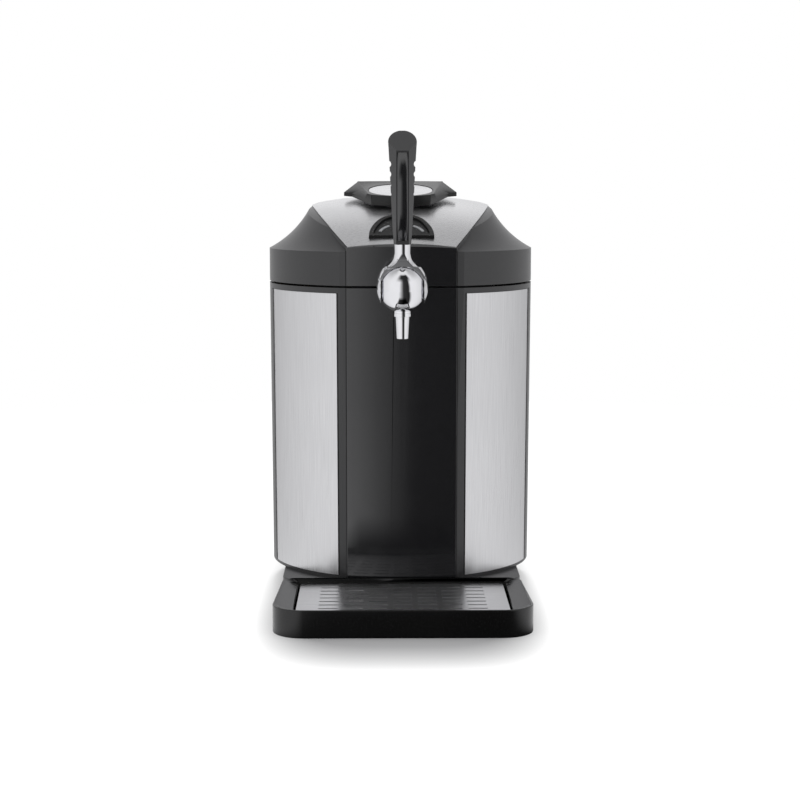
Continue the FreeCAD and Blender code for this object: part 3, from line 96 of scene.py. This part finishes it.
# %% Colour handling
view = bpy.context.scene.view_settings
view.view_transform = "Standard"
print("view transform:", view.view_transform)


# %% Helpers that add shader nodes in a line or two
def add(tree, kind, inputs=None, **settings):
    """Adds a shader node, sets its properties, then its sockets by value or by link."""
    node = tree.nodes.new(kind)
    for name, value in settings.items():
        setattr(node, name, value)
    for socket, value in (inputs or {}).items():
        if isinstance(value, bpy.types.NodeSocket):
            tree.links.new(value, node.inputs[socket])
        else:
            node.inputs[socket].default_value = value
    return node


def calc(tree, operation, first, second=0.0):
    """One step of arithmetic."""
    return add(tree, "ShaderNodeMath", {0: first, 1: second}, operation=operation).outputs[0]


def remap(tree, value, start, stop, low=0.0, high=1.0):
    """A value taken from one range to another and held at the ends."""
    ranges = {"From Min": start, "From Max": stop, "To Min": low, "To Max": high}
    return add(tree, "ShaderNodeMapRange", {"Value": value, **ranges}).outputs[0]


def mix_colors(tree, share, first, second):
    """A mix of two colours."""
    return add(tree, "ShaderNodeMixRGB", {"Fac": share, "Color1": first, "Color2": second}).outputs["Color"]


def mix_shaders(tree, share, first, second):
    """A mix of two shaders."""
    return add(tree, "ShaderNodeMixShader", {0: share, 1: first.outputs[0], 2: second.outputs[0]})


def mirrored_ray(tree, rays):
    """1 for a ray that a gloss or a clear surface sends out, 0 for any other."""
    return calc(tree, "MAXIMUM", rays.outputs["Is Glossy Ray"], rays.outputs["Is Transmission Ray"])


print("shader helpers ready")

# %% [markdown]
# ## World and floor
# Gloss plastic and chrome show the room more than their own colour. A product studio is white all
# round, apart from the dark gap where the camera stands. The room is kept as two grey ramps
# round the compass, one for eye level and one for overhead, and mirrored rays read them. The floor
# uses the same ramps for mirrored rays, so a reflection runs from sky to floor without a line.
# The eye sees plain white past the object. Near it the eye sees a darker diffuse paper, a painted
# shadow that fades along a rounded rectangle a little larger than the base, with the lamps' real
# shadow on it. The gloss front would mirror a bright floor, so the strip of floor straight ahead of
# the tray carries a painted shadow, dark to mirrored rays only.

# %% The tone of the room by compass direction
# Each stop is a turn of the compass (0 and 1 back, 0.25 left, 0.5 front) and its grey. The heights are
# sines of the elevation: the overhead ramp comes in over the first pair, the zenith over the second.
OVERHEAD_HEIGHTS, ZENITH_HEIGHTS = (0.55, 0.80), (0.93, 0.98)
ZENITH_TONE = (0.95, 0.95, 0.95, 1)
EYE_LEVEL_TONES = [
    (0.000, 1.00),
    (0.045, 0.76),
    (0.090, 0.62),
    (0.200, 0.86),
    (0.330, 1.00),
    (0.455, 1.00),
    (0.492, 0.30),
    (0.512, 0.04),
    (0.582, 0.02),
    (0.612, 1.00),
    (0.670, 1.00),
    (0.780, 0.86),
    (0.910, 0.60),
    (0.955, 0.76),
    (1.000, 1.00),
]
OVERHEAD_TONES = [
    (0.000, 0.42),
    (0.050, 0.42),
    (0.090, 0.46),
    (0.200, 0.60),
    (0.330, 0.95),
    (0.385, 0.95),
    (0.435, 0.25),
    (0.465, 0.03),
    (0.605, 0.02),
    (0.650, 0.95),
    (0.770, 0.60),
    (0.910, 0.46),
    (0.950, 0.42),
    (1.000, 0.42),
]


def compass_ramp(tree, turn, tones):
    """A grey ramp over the compass: back at 0 and 1, left at 0.25, front at 0.5."""
    ramp = add(tree, "ShaderNodeValToRGB", {"Fac": turn})
    stops = ramp.color_ramp.elements
    while len(stops) < len(tones):
        stops.new(0.5)
    for stop, (position, tone) in zip(stops, tones):
        stop.position, stop.color = position, (tone, tone, tone * 1.01, 1)
    return ramp.outputs["Color"]


def room_tone(tree, direction):
    """The grey of the room in a direction: one ramp at eye level, another one overhead."""
    aim = add(tree, "ShaderNodeSeparateXYZ", {0: direction}).outputs
    angle = calc(tree, "ARCTAN2", aim["X"], calc(tree, "MULTIPLY", aim["Y"], -1.0))
    turn = remap(tree, angle, -math.pi, math.pi)
    room = mix_colors(
        tree, remap(tree, aim["Z"], *OVERHEAD_HEIGHTS),
        compass_ramp(tree, turn, EYE_LEVEL_TONES), compass_ramp(tree, turn, OVERHEAD_TONES),
    )
    return mix_colors(tree, remap(tree, aim["Z"], *ZENITH_HEIGHTS), room, ZENITH_TONE)


print("room tones:", len(EYE_LEVEL_TONES), "at eye level,", len(OVERHEAD_TONES), "overhead")

# %% World
WHITE = (1, 1, 1, 1)
FILL_LIGHT = (0.64, 0.64, 0.65, 1)
world = bpy.data.worlds.new("studio_room")
bpy.context.scene.world = world
world.use_nodes = True
tree = world.node_tree
tree.nodes.clear()
sky = add(tree, "ShaderNodeTexCoord")
rays = add(tree, "ShaderNodeLightPath")
around = mix_colors(tree, mirrored_ray(tree, rays), FILL_LIGHT, room_tone(tree, sky.outputs["Generated"]))
seen = mix_colors(tree, rays.outputs["Is Camera Ray"], around, WHITE)
glow = add(tree, "ShaderNodeBackground", {"Color": seen, "Strength": 1.0})
add(tree, "ShaderNodeOutputWorld", {"Surface": glow.outputs[0]})
print("world nodes:", len(tree.nodes))

# %% Floor
FLOOR_RADIUS = 1.6
floor_mesh = bpy.data.meshes.new("floor")
shape = bmesh.new()
bmesh.ops.create_circle(shape, cap_ends=True, segments=64, radius=FLOOR_RADIUS)
shape.to_mesh(floor_mesh)
shape.free()
floor = link_new("floor", floor_mesh)
print("floor is", round(floor.dimensions.x, 2), "m across")

# %% Floor paper, which fades to plain white away from the object
# The darker paper is a painted shadow: the eye sees it near the object, under the lamps' real shadow.
PAPER, PAINTED_SHADOW_PAPER, PAPER_GLOW = (0.62, 0.62, 0.62, 1), (0.55, 0.55, 0.55, 1), 1.12
SHADOW_HALF_WIDTH, SHADOW_HALF_DEPTH, SHADOW_CORNERS, SHADOW_FADE = 0.150, 0.345, 4.0, (0.27, 0.92)
# A painted shadow: the strip of floor ahead of the tray turns this dark to mirrored rays only.
PAINTED_SHADOW_SIDES, PAINTED_SHADOW_END, PAINTED_SHADOW_TONE = (0.095, 0.135), (-0.38, -0.55), 0.03
paper = bpy.data.materials.new("studio_paper")
paper.use_nodes = True
tree = paper.node_tree
tree.nodes.clear()
spot = add(tree, "ShaderNodeTexCoord").outputs["Object"]
rays = add(tree, "ShaderNodeLightPath")
place = add(tree, "ShaderNodeSeparateXYZ", {0: spot}).outputs
aside, along = calc(tree, "ABSOLUTE", place["X"]), calc(tree, "ABSOLUTE", place["Y"])
wide = calc(tree, "POWER", calc(tree, "DIVIDE", aside, SHADOW_HALF_WIDTH), SHADOW_CORNERS)
deep = calc(tree, "POWER", calc(tree, "DIVIDE", along, SHADOW_HALF_DEPTH), SHADOW_CORNERS)
clear_share = remap(tree, calc(tree, "ADD", wide, deep), *SHADOW_FADE)
matt = add(tree, "ShaderNodeBsdfDiffuse", {"Color": PAPER})
painted_shade = add(tree, "ShaderNodeBsdfDiffuse", {"Color": PAINTED_SHADOW_PAPER})
shine = add(tree, "ShaderNodeEmission", {"Color": WHITE, "Strength": PAPER_GLOW})
# Inside the rounded rectangle the eye sees the darker paper, a painted shadow; beyond it, the white glow.
paper_seen = mix_shaders(tree, clear_share, painted_shade, shine)
# Painted shadow seen in mirrored rays: the floor ahead of the tray shows dark in the gloss front.
beside = remap(tree, aside, *PAINTED_SHADOW_SIDES, low=PAINTED_SHADOW_TONE)
ahead = remap(tree, place["Y"], *PAINTED_SHADOW_END, low=PAINTED_SHADOW_TONE)
strength = calc(tree, "MAXIMUM", beside, ahead)
room = add(tree, "ShaderNodeEmission", {"Color": room_tone(tree, spot), "Strength": strength})
plain = mix_shaders(tree, rays.outputs["Is Camera Ray"], matt, paper_seen)
mixed = mix_shaders(tree, mirrored_ray(tree, rays), plain, room)
add(tree, "ShaderNodeOutputMaterial", {"Surface": mixed.outputs[0]})
floor_mesh.materials.append(paper)
print("the shadow reaches", SHADOW_HALF_WIDTH, "m to each side and", SHADOW_HALF_DEPTH, "m ahead")


# %% Lamps
def soft_box(name, place, look_at, width, height, watts):
    """A rectangular area lamp that faces a point."""
    data = bpy.data.lights.new(name, "AREA")
    data.shape = "RECTANGLE"
    data.size, data.size_y, data.energy = width, height, watts
    lamp = link_new(name, data)
    lamp.location = place
    lamp.rotation_euler = (Vector(look_at) - Vector(place)).to_track_quat("-Z", "Y").to_euler()
    lamp.visible_glossy = False
    return lamp


soft_box("left_box", (-1.5, -1.0, 0.7), (0, 0, 0.22), 0.5, 1.6, 9)
soft_box("right_box", (1.5, -1.0, 0.7), (0, 0, 0.22), 0.35, 1.6, 7)
soft_box("back_box", (0, 0.9, 1.55), (0, 0, 0.1), 0.45, 0.35, 30)

# %% [markdown]
# ## Finishes
# Each finish is a small shader of its own. The moulded plastic has a fine spark-eroded grain, the
# steel is brushed upwards, the chrome is nearly perfect with a faint ripple, and rubber is dull.
# All patterns read Object coordinates in metres, so the grain keeps its real size.

# %% Helpers for finishes
def finish(name, color, metallic=0.0, roughness=0.4, **sockets):
    """A material with one Principled shader whose plain values sit on its own sockets."""
    material = bpy.data.materials.new(name)
    material.use_nodes = True
    tree = material.node_tree
    shader = tree.nodes["Principled BSDF"]
    shader.inputs["Base Color"].default_value = (*color, 1)
    shader.inputs["Metallic"].default_value = metallic
    shader.inputs["Roughness"].default_value = roughness
    for socket, value in sockets.items():
        shader.inputs[socket.replace("_", " ")].default_value = value
    return material, tree, shader


def noise(tree, scale, stretch=(1, 1, 1), detail=3.0):
    """Noise in real size, with stretch below 1 along the direction in which it is drawn out."""
    place = add(tree, "ShaderNodeTexCoord")
    turn = add(tree, "ShaderNodeMapping", {"Vector": place.outputs["Object"], "Scale": stretch})
    return add(tree, "ShaderNodeTexNoise", {"Vector": turn.outputs[0], "Scale": scale, "Detail": detail})


def spread(tree, source, low, high, start=0.3, stop=0.7):
    """Maps a pattern to a range of values."""
    return remap(tree, source, start, stop, low, high)


def tint(tree, source, dark, light):
    """Maps a pattern to a range between two colours."""
    ramp = add(tree, "ShaderNodeValToRGB", {"Fac": source})
    for stop, position, color in zip(ramp.color_ramp.elements, (0.3, 0.7), (dark, light)):
        stop.position, stop.color = position, (*color, 1)
    return ramp.outputs["Color"]


def relief(tree, shader, source, strength, depth=0.0002):
    """Lets a pattern raise the surface."""
    bump = add(tree, "ShaderNodeBump", {"Height": source, "Strength": strength, "Distance": depth})
    tree.links.new(bump.outputs[0], shader.inputs["Normal"])


print("finish helpers ready")


# %% Grained plastics
def moulded_plastic(name, dark, light, rough=(0.42, 0.55), grain=1800, strength=0.35, specular=0.5):
    """Moulded plastic with a fine grain and a slow drift of tone."""
    material, tree, shader = finish(name, light, Specular_IOR_Level=specular)
    cloud = noise(tree, 9)
    fine = noise(tree, grain, detail=2)
    tree.links.new(tint(tree, cloud.outputs["Fac"], dark, light), shader.inputs["Base Color"])
    tree.links.new(spread(tree, fine.outputs["Fac"], *rough), shader.inputs["Roughness"])
    relief(tree, shader, fine.outputs["Fac"], strength, 0.00008)
    return material


shell_black = moulded_plastic(
    "shell_black", (0.020, 0.020, 0.021), (0.025, 0.025, 0.026), (0.28, 0.36), strength=0.3,
)
knob_black = moulded_plastic(
    "knob_black", (0.009, 0.009, 0.009), (0.013, 0.013, 0.013), (0.26, 0.34), 2000, 0.25, specular=0.3,
)
deck_grey = moulded_plastic("deck_grey", (0.055, 0.056, 0.058), (0.070, 0.071, 0.073), grain=1300)
key_grey = moulded_plastic("key_grey", (0.15, 0.155, 0.16), (0.19, 0.195, 0.20), grain=2200, strength=0.2)
wet_black = moulded_plastic(
    "wet_black", (0.004, 0.004, 0.004), (0.006, 0.006, 0.006), (0.20, 0.28), 1500, 0.12,
)
panel_black = moulded_plastic(
    "panel_black", (0.007, 0.007, 0.007), (0.010, 0.010, 0.010), (0.42, 0.52), 2200, 0.2, specular=0.22,
)
grip_black = moulded_plastic(
    "grip_black", (0.020, 0.020, 0.021), (0.030, 0.030, 0.031), (0.30, 0.42), 2600, 0.25,
)
plastics = (shell_black, knob_black, deck_grey, key_grey, wet_black, panel_black, grip_black)
print("plastics:", [material.name for material in plastics])


# %% Gloss black
def piano_black(name, color):
    """Gloss plastic: a hard clear surface with the faint waviness of a moulding."""
    material, tree, shader = finish(name, color, roughness=0.16, Coat_Weight=1.0, Coat_Roughness=0.04)
    wave = noise(tree, 14, detail=1)
    haze = noise(tree, 60, detail=4)
    tree.links.new(spread(tree, haze.outputs["Fac"], 0.13, 0.20), shader.inputs["Roughness"])
    relief(tree, shader, wave.outputs["Fac"], 0.02, 0.0003)
    return material


gloss_black = piano_black("gloss_black", (0.010, 0.010, 0.011))
lens_black = piano_black("lens_black", (0.006, 0.007, 0.010))
print("gloss:", gloss_black.name, lens_black.name)


# %% Brushed steel
def brushed_metal(name, dark, light, stretch, rough=(0.26, 0.40), strength=0.25):
    """Steel brushed in one direction: long fine scratches in tone, gloss and height."""
    material, tree, shader = finish(name, light, metallic=1.0, roughness=0.3)
    scratch = noise(tree, 1.0, stretch, detail=4)
    cloud = noise(tree, 12, detail=2)
    tree.links.new(tint(tree, scratch.outputs["Fac"], dark, light), shader.inputs["Base Color"])
    both = calc(tree, "MULTIPLY", scratch.outputs["Fac"], cloud.outputs["Fac"])
    tree.links.new(spread(tree, both, *rough, start=0.12, stop=0.4), shader.inputs["Roughness"])
    relief(tree, shader, scratch.outputs["Fac"], strength, 0.00006)
    return material


steel_upright = brushed_metal("steel_upright", (0.58, 0.58, 0.59), (0.70, 0.70, 0.71), (2600, 2600, 18))
steel_across = brushed_metal(
    "steel_across", (0.70, 0.70, 0.71), (0.84, 0.84, 0.85), (18, 2600, 2600), (0.24, 0.36),
)
steel_plate = brushed_metal(
    "steel_plate", (0.74, 0.74, 0.75), (0.88, 0.88, 0.89), (18, 2400, 2400), (0.26, 0.36),
)
print("steel:", steel_upright.name, steel_across.name, steel_plate.name)


# %% Chrome, aluminium, brass
def plated(name, dark, light, rough):
    """Polished or turned metal with a faint ripple and slight handling haze."""
    material, tree, shader = finish(name, light, metallic=1.0, roughness=rough)
    haze = noise(tree, 45, detail=4)
    tree.links.new(tint(tree, haze.outputs["Fac"], dark, light), shader.inputs["Base Color"])
    tree.links.new(spread(tree, haze.outputs["Fac"], rough * 0.7, rough * 1.4), shader.inputs["Roughness"])
    relief(tree, shader, haze.outputs["Fac"], 0.03, 0.0002)
    return material


chrome = plated("chrome", (0.74, 0.74, 0.76), (0.80, 0.80, 0.82), 0.05)
cast_aluminium = plated("cast_aluminium", (0.50, 0.51, 0.52), (0.60, 0.61, 0.62), 0.32)
turned_brass = plated("turned_brass", (0.52, 0.38, 0.16), (0.62, 0.46, 0.20), 0.22)
silver_paint = plated("silver_paint", (0.42, 0.43, 0.44), (0.48, 0.49, 0.50), 0.35)
print("metals:", chrome.name, cast_aluminium.name, turned_brass.name, silver_paint.name)


# %% Rubber, foam, circuit board
def soft_dull(name, dark, light, rough, grain, strength):
    """Dull materials: rubber, foam and board."""
    material, tree, shader = finish(name, light, roughness=rough[1])
    fine = noise(tree, grain, detail=5)
    tree.links.new(tint(tree, fine.outputs["Fac"], dark, light), shader.inputs["Base Color"])
    tree.links.new(spread(tree, fine.outputs["Fac"], *rough), shader.inputs["Roughness"])
    relief(tree, shader, fine.outputs["Fac"], strength)
    return material


# Blacker than any plastic here: a painted shadow for the gap at the front edge of each skin.
gap_shadow_black = soft_dull("gap_shadow_black", (0.002, 0.002, 0.002), (0.003, 0.003, 0.003), (0.7, 0.85), 900, 0.2)
rubber = soft_dull("rubber", (0.018, 0.018, 0.018), (0.030, 0.030, 0.030), (0.62, 0.8), 900, 0.3)
blown_foam = soft_dull("blown_foam", (0.62, 0.56, 0.40), (0.74, 0.68, 0.52), (0.8, 0.95), 420, 0.6)
green_board = soft_dull("green_board", (0.010, 0.07, 0.03), (0.015, 0.11, 0.05), (0.35, 0.5), 300, 0.2)
print("dull:", gap_shadow_black.name, rubber.name, blown_foam.name, green_board.name)

# %% [markdown]
# ## Dressing the CAD parts
# The solids already have their true shapes, so each keeps its own mesh and only takes a finish.
# The list names a finish for every part, and the last line proves that none was left bare.

# %% A finish for every part
finishes = {
    shell_black: [
        "body_shell", "hinge_bracket", "lid_lug_left", "lid_lug_right", "lid_shell", "base_pedestal",
        "rear_cover", "fan_frame", "fan_rotor", "power_inlet", "power_switch_case",
        "latch_gear", "latch_keeper_left", "latch_keeper_right", "gas_sleeve", "regulator_knob",
    ],
    wet_black: ["drip_tray"],
    knob_black: ["lid_knob"],
    panel_black: ["control_bezel", "control_fascia"],
    deck_grey: ["top_deck", "lid_pan", "knob_seat_ring"],
    key_grey: ["button_left", "button_right", "latch_bolt_left", "latch_bolt_right", "cooling_chip"],
    grip_black: ["tap_handle"],
    gloss_black: ["front_panel", "lid_front_panel", "handle_inlay", "power_rocker"],
    lens_black: ["display_lens"],
    steel_upright: ["side_panel_left", "side_panel_right"],
    steel_across: ["lid_top_panel", "knob_disc", "hinge_pin", "valve_plunger"],
    steel_plate: ["drip_grille"],
    chrome: ["tap_body", "tap_escutcheon", "spout", "lever_pivot_pin", "lever_yoke"],
    cast_aluminium: ["keg_liner", "cold_block", "heat_sink"],
    turned_brass: ["tap_nut", "gas_regulator"],
    silver_paint: ["gas_cartridge"],
    rubber: ["rubber_foot_1", "rubber_foot_2", "rubber_foot_3", "rubber_foot_4", "lid_seal"],
    blown_foam: ["insulation"],
    green_board: ["power_board", "control_board"],
}
for material, names in finishes.items():
    for name in names:
        slots = nodes[name].material_slots
        for slot in slots:
            slot.material = material
        if not slots:
            nodes[name].data.materials.append(material)
bare = sorted(set(nodes) - {name for names in finishes.values() for name in names})
print("parts without a finish:", bare)

# %% [markdown]
# ## Rounded edges
# Nothing that leaves a mould or a press has a knife edge: each corner carries a radius of half a
# millimetre or so, and that radius draws the thin bright lines seen in studio light. It could be a
# bevel in the shader, but that is lost when the model leaves Blender, so it is made in the mesh.
# Each visible moulding is a merged copy of its solid. Flat areas are dissolved to single faces, the
# outer corners get a bevel weight, and a Bevel modifier rounds only those. Inner corners stay crisp,
# as they are in a tool. The copy stands in for the solid and rides on the same body.

# %% Helpers: a merged copy of a part, and one with rounded edges
CORNER_ANGLE, FLAT_ANGLE, SAME_POINT = math.radians(32), math.radians(0.6), 3e-6
rider = {part: body for body, members in frame["record"]["behaviour"]["bodies"].items() for part in members}


def merged_copy(name, new_name):
    """A copy of a part's mesh, and its bmesh with the points joined and the flat areas dissolved."""
    mesh = nodes[name].data.copy()
    mesh.name = new_name
    if "custom_normal" in mesh.attributes:
        mesh.attributes.remove(mesh.attributes["custom_normal"])
    shape = bmesh.new()
    shape.from_mesh(mesh)
    bmesh.ops.remove_doubles(shape, verts=shape.verts, dist=SAME_POINT)
    bmesh.ops.dissolve_limit(shape, angle_limit=FLAT_ANGLE, verts=shape.verts, edges=shape.edges)
    return mesh, shape


def stand_in(piece, name):
    """Lets a piece take the place of a part, on the part's own body."""
    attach(piece, rider[name])
    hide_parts(name)


def rounded_copy(name, radius):
    """Stands a copy with rounded outer corners in for a part, in its own place and finish."""
    mesh, shape = merged_copy(name, "rounded_" + name)
    weight = shape.edges.layers.float.new("bevel_weight_edge")
    for edge in shape.edges:
        corner = edge.is_manifold and edge.calc_face_angle(0) > CORNER_ANGLE
        edge.smooth = not corner or edge.is_convex
        if corner and edge.is_convex:
            edge[weight] = 1
    for face in shape.faces:
        face.smooth = True
    shape.to_mesh(mesh)
    shape.free()
    piece = link_new("rounded_" + name, mesh)
    rounding = piece.modifiers.new("rounding", "BEVEL")
    rounding.width, rounding.segments, rounding.limit_method = radius, 2, "WEIGHT"
    rounding.use_clamp_overlap, rounding.harden_normals = False, True
    stand_in(piece, name)
    return piece


print("parts with a body:", len(rider))

# %% Round the parts that are seen
EDGE_RADII = {
    0.0010: ["drip_tray"],
    0.0008: ["lid_knob", "base_pedestal", "rear_cover", "lever_yoke"],
    0.0004: ["front_panel", "lid_front_panel"],
    0.0006: ["power_inlet", "power_switch_case", "fan_frame"],
    0.0005: ["tap_escutcheon", "hinge_bracket", "lid_lug_left", "lid_lug_right", "power_rocker"],
    0.0003: [
        "side_panel_left", "side_panel_right", "knob_disc", "drip_grille", "spout", "control_fascia",
        "button_left", "button_right",
    ],
}
rounded = [rounded_copy(name, radius) for radius, names in EDGE_RADII.items() for name in names]
print("rounded copies:", len(rounded))

# %% [markdown]
# ## The gloss strip in the handle
# The strip down the front of the handle is a long lens of gloss plastic, a little higher along its
# middle than at its edges, so it shows one dark line between two soft grey ones. The solid has a
# flat face there. Its copy is sliced lengthwise with bisect_plane, and the slices are then lifted
# along an arc, which keeps the outline and the seat of the strip as they are.

# %% Crown the strip
STRIP_CROWN, STRIP_SLICES = 0.0009, 10
strip_low, strip_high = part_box("handle_inlay")
strip_middle, strip_half = (strip_low.x + strip_high.x) / 2, (strip_high.x - strip_low.x) / 2
mesh, shape = merged_copy("handle_inlay", "crowned_strip")
for n in range(1, STRIP_SLICES):
    cut_x = strip_low.x + 2 * strip_half * n / STRIP_SLICES
    bmesh.ops.bisect_plane(
        shape, geom=list(shape.verts) + list(shape.edges) + list(shape.faces), dist=1e-7,
        plane_co=(cut_x, 0, 0), plane_no=(1, 0, 0),
    )
for vert in {vert for face in shape.faces if face.normal.y < -0.7 for vert in face.verts}:
    share = (vert.co.x - strip_middle) / strip_half
    vert.co.y -= STRIP_CROWN * max(0.0, 1 - share * share)
for face in shape.faces:
    face.smooth = face.normal.y < -0.5
shape.to_mesh(mesh)
shape.free()
stand_in(link_new("crowned_strip", mesh), "handle_inlay")
print("strip is", round(2000 * strip_half, 1), "mm wide and crowned by", 1000 * STRIP_CROWN, "mm")

# %% [markdown]
# ## Trim beside the steel skins
# The steel side skins are thin sheets let into the moulded shell. A near-black strip, sunk a little
# below the surface, runs down the front edge of each as a painted shadow of the gap there, and a wider
# black strip covers the cut edge at the back. Both follow the slight taper of the body, so each is a
# short upright profile spun a few degrees about the body's axis.

# %% Helper: a strip of trim that wraps part of the body
axis_y = sum(corner.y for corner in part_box("keg_liner")) / 2
skin_low, skin_high = (corner.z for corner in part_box("side_panel_right"))
TRIM_ROUNDING, SHARP_ANGLE = 0.00015, math.radians(60)
HEAD_RADIUS, HEAD_Z, FOOT_RADIUS, FOOT_Z = 0.1370, 0.316, 0.1352, 0.024


def body_radius(z):
    """The outside radius of the tapered body at a height."""
    return FOOT_RADIUS + (HEAD_RADIUS - FOOT_RADIUS) * (z - FOOT_Z) / (HEAD_Z - FOOT_Z)


def wrap_strip(name, first_deg, last_deg, sunk, proud, low, high, material):
    """A strip between two angles from the front, from below the body's surface to proud of it."""
    shape = bmesh.new()
    corners = [
        (body_radius(low) - sunk, low), (body_radius(low) + proud, low),
        (body_radius(high) + proud, high), (body_radius(high) - sunk, high),
    ]
    outline = [shape.verts.new((radius, 0, z)) for radius, z in corners]
    face = shape.faces.new(outline)
    start = Matrix.Rotation(math.radians(first_deg - 90), 3, "Z")
    bmesh.ops.rotate(shape, verts=shape.verts, matrix=start)
    steps = max(2, round(abs(last_deg - first_deg) * 2))
    bmesh.ops.spin(
        shape, geom=[face] + list(face.edges) + outline, axis=(0, 0, 1), cent=(0, 0, 0),
        angle=math.radians(last_deg - first_deg), steps=steps, use_duplicate=False, use_merge=False,
    )
    bmesh.ops.translate(shape, verts=shape.verts, vec=(0, axis_y, 0))
    bmesh.ops.recalc_face_normals(shape, faces=shape.faces)
    sharp_edges = [edge for edge in shape.edges if edge.calc_face_angle(0) > SHARP_ANGLE]
    bmesh.ops.bevel(
        shape, geom=sharp_edges, offset=TRIM_ROUNDING, offset_type="OFFSET", affect="EDGES",
        segments=2, profile=0.5, material=-1,
    )
    for made in shape.faces:
        made.smooth = True
    mesh = bpy.data.meshes.new(name)
    shape.to_mesh(mesh)
    shape.free()
    mesh.materials.append(material)
    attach(link_new(name, mesh), "base")


print("body axis at y", round(axis_y, 4), "skins from", round(skin_low, 4), "to", round(skin_high, 4))

# %% Beads and edge strips
# The front strip is a painted shadow of the gap beside the front panel; the back strip is black trim.
GAP_SHADOW_DEGREES, EDGE_DEGREES = (27.5, 27.95), (72.6, 76.1)
for side, sign in (("left", -1), ("right", 1)):
    gap_strip, edge = ([sign * degrees for degrees in pair] for pair in (GAP_SHADOW_DEGREES, EDGE_DEGREES))
    wrap_strip("skin_gap_shadow_" + side, *gap_strip, 0.0007, -0.0002, skin_low, skin_high, gap_shadow_black)
    wrap_strip("skin_edge_" + side, *edge, 0.0003, 0.0009, skin_low, skin_high, shell_black)
print("bead at", GAP_SHADOW_DEGREES, "degrees from the front, edge strip at", EDGE_DEGREES)
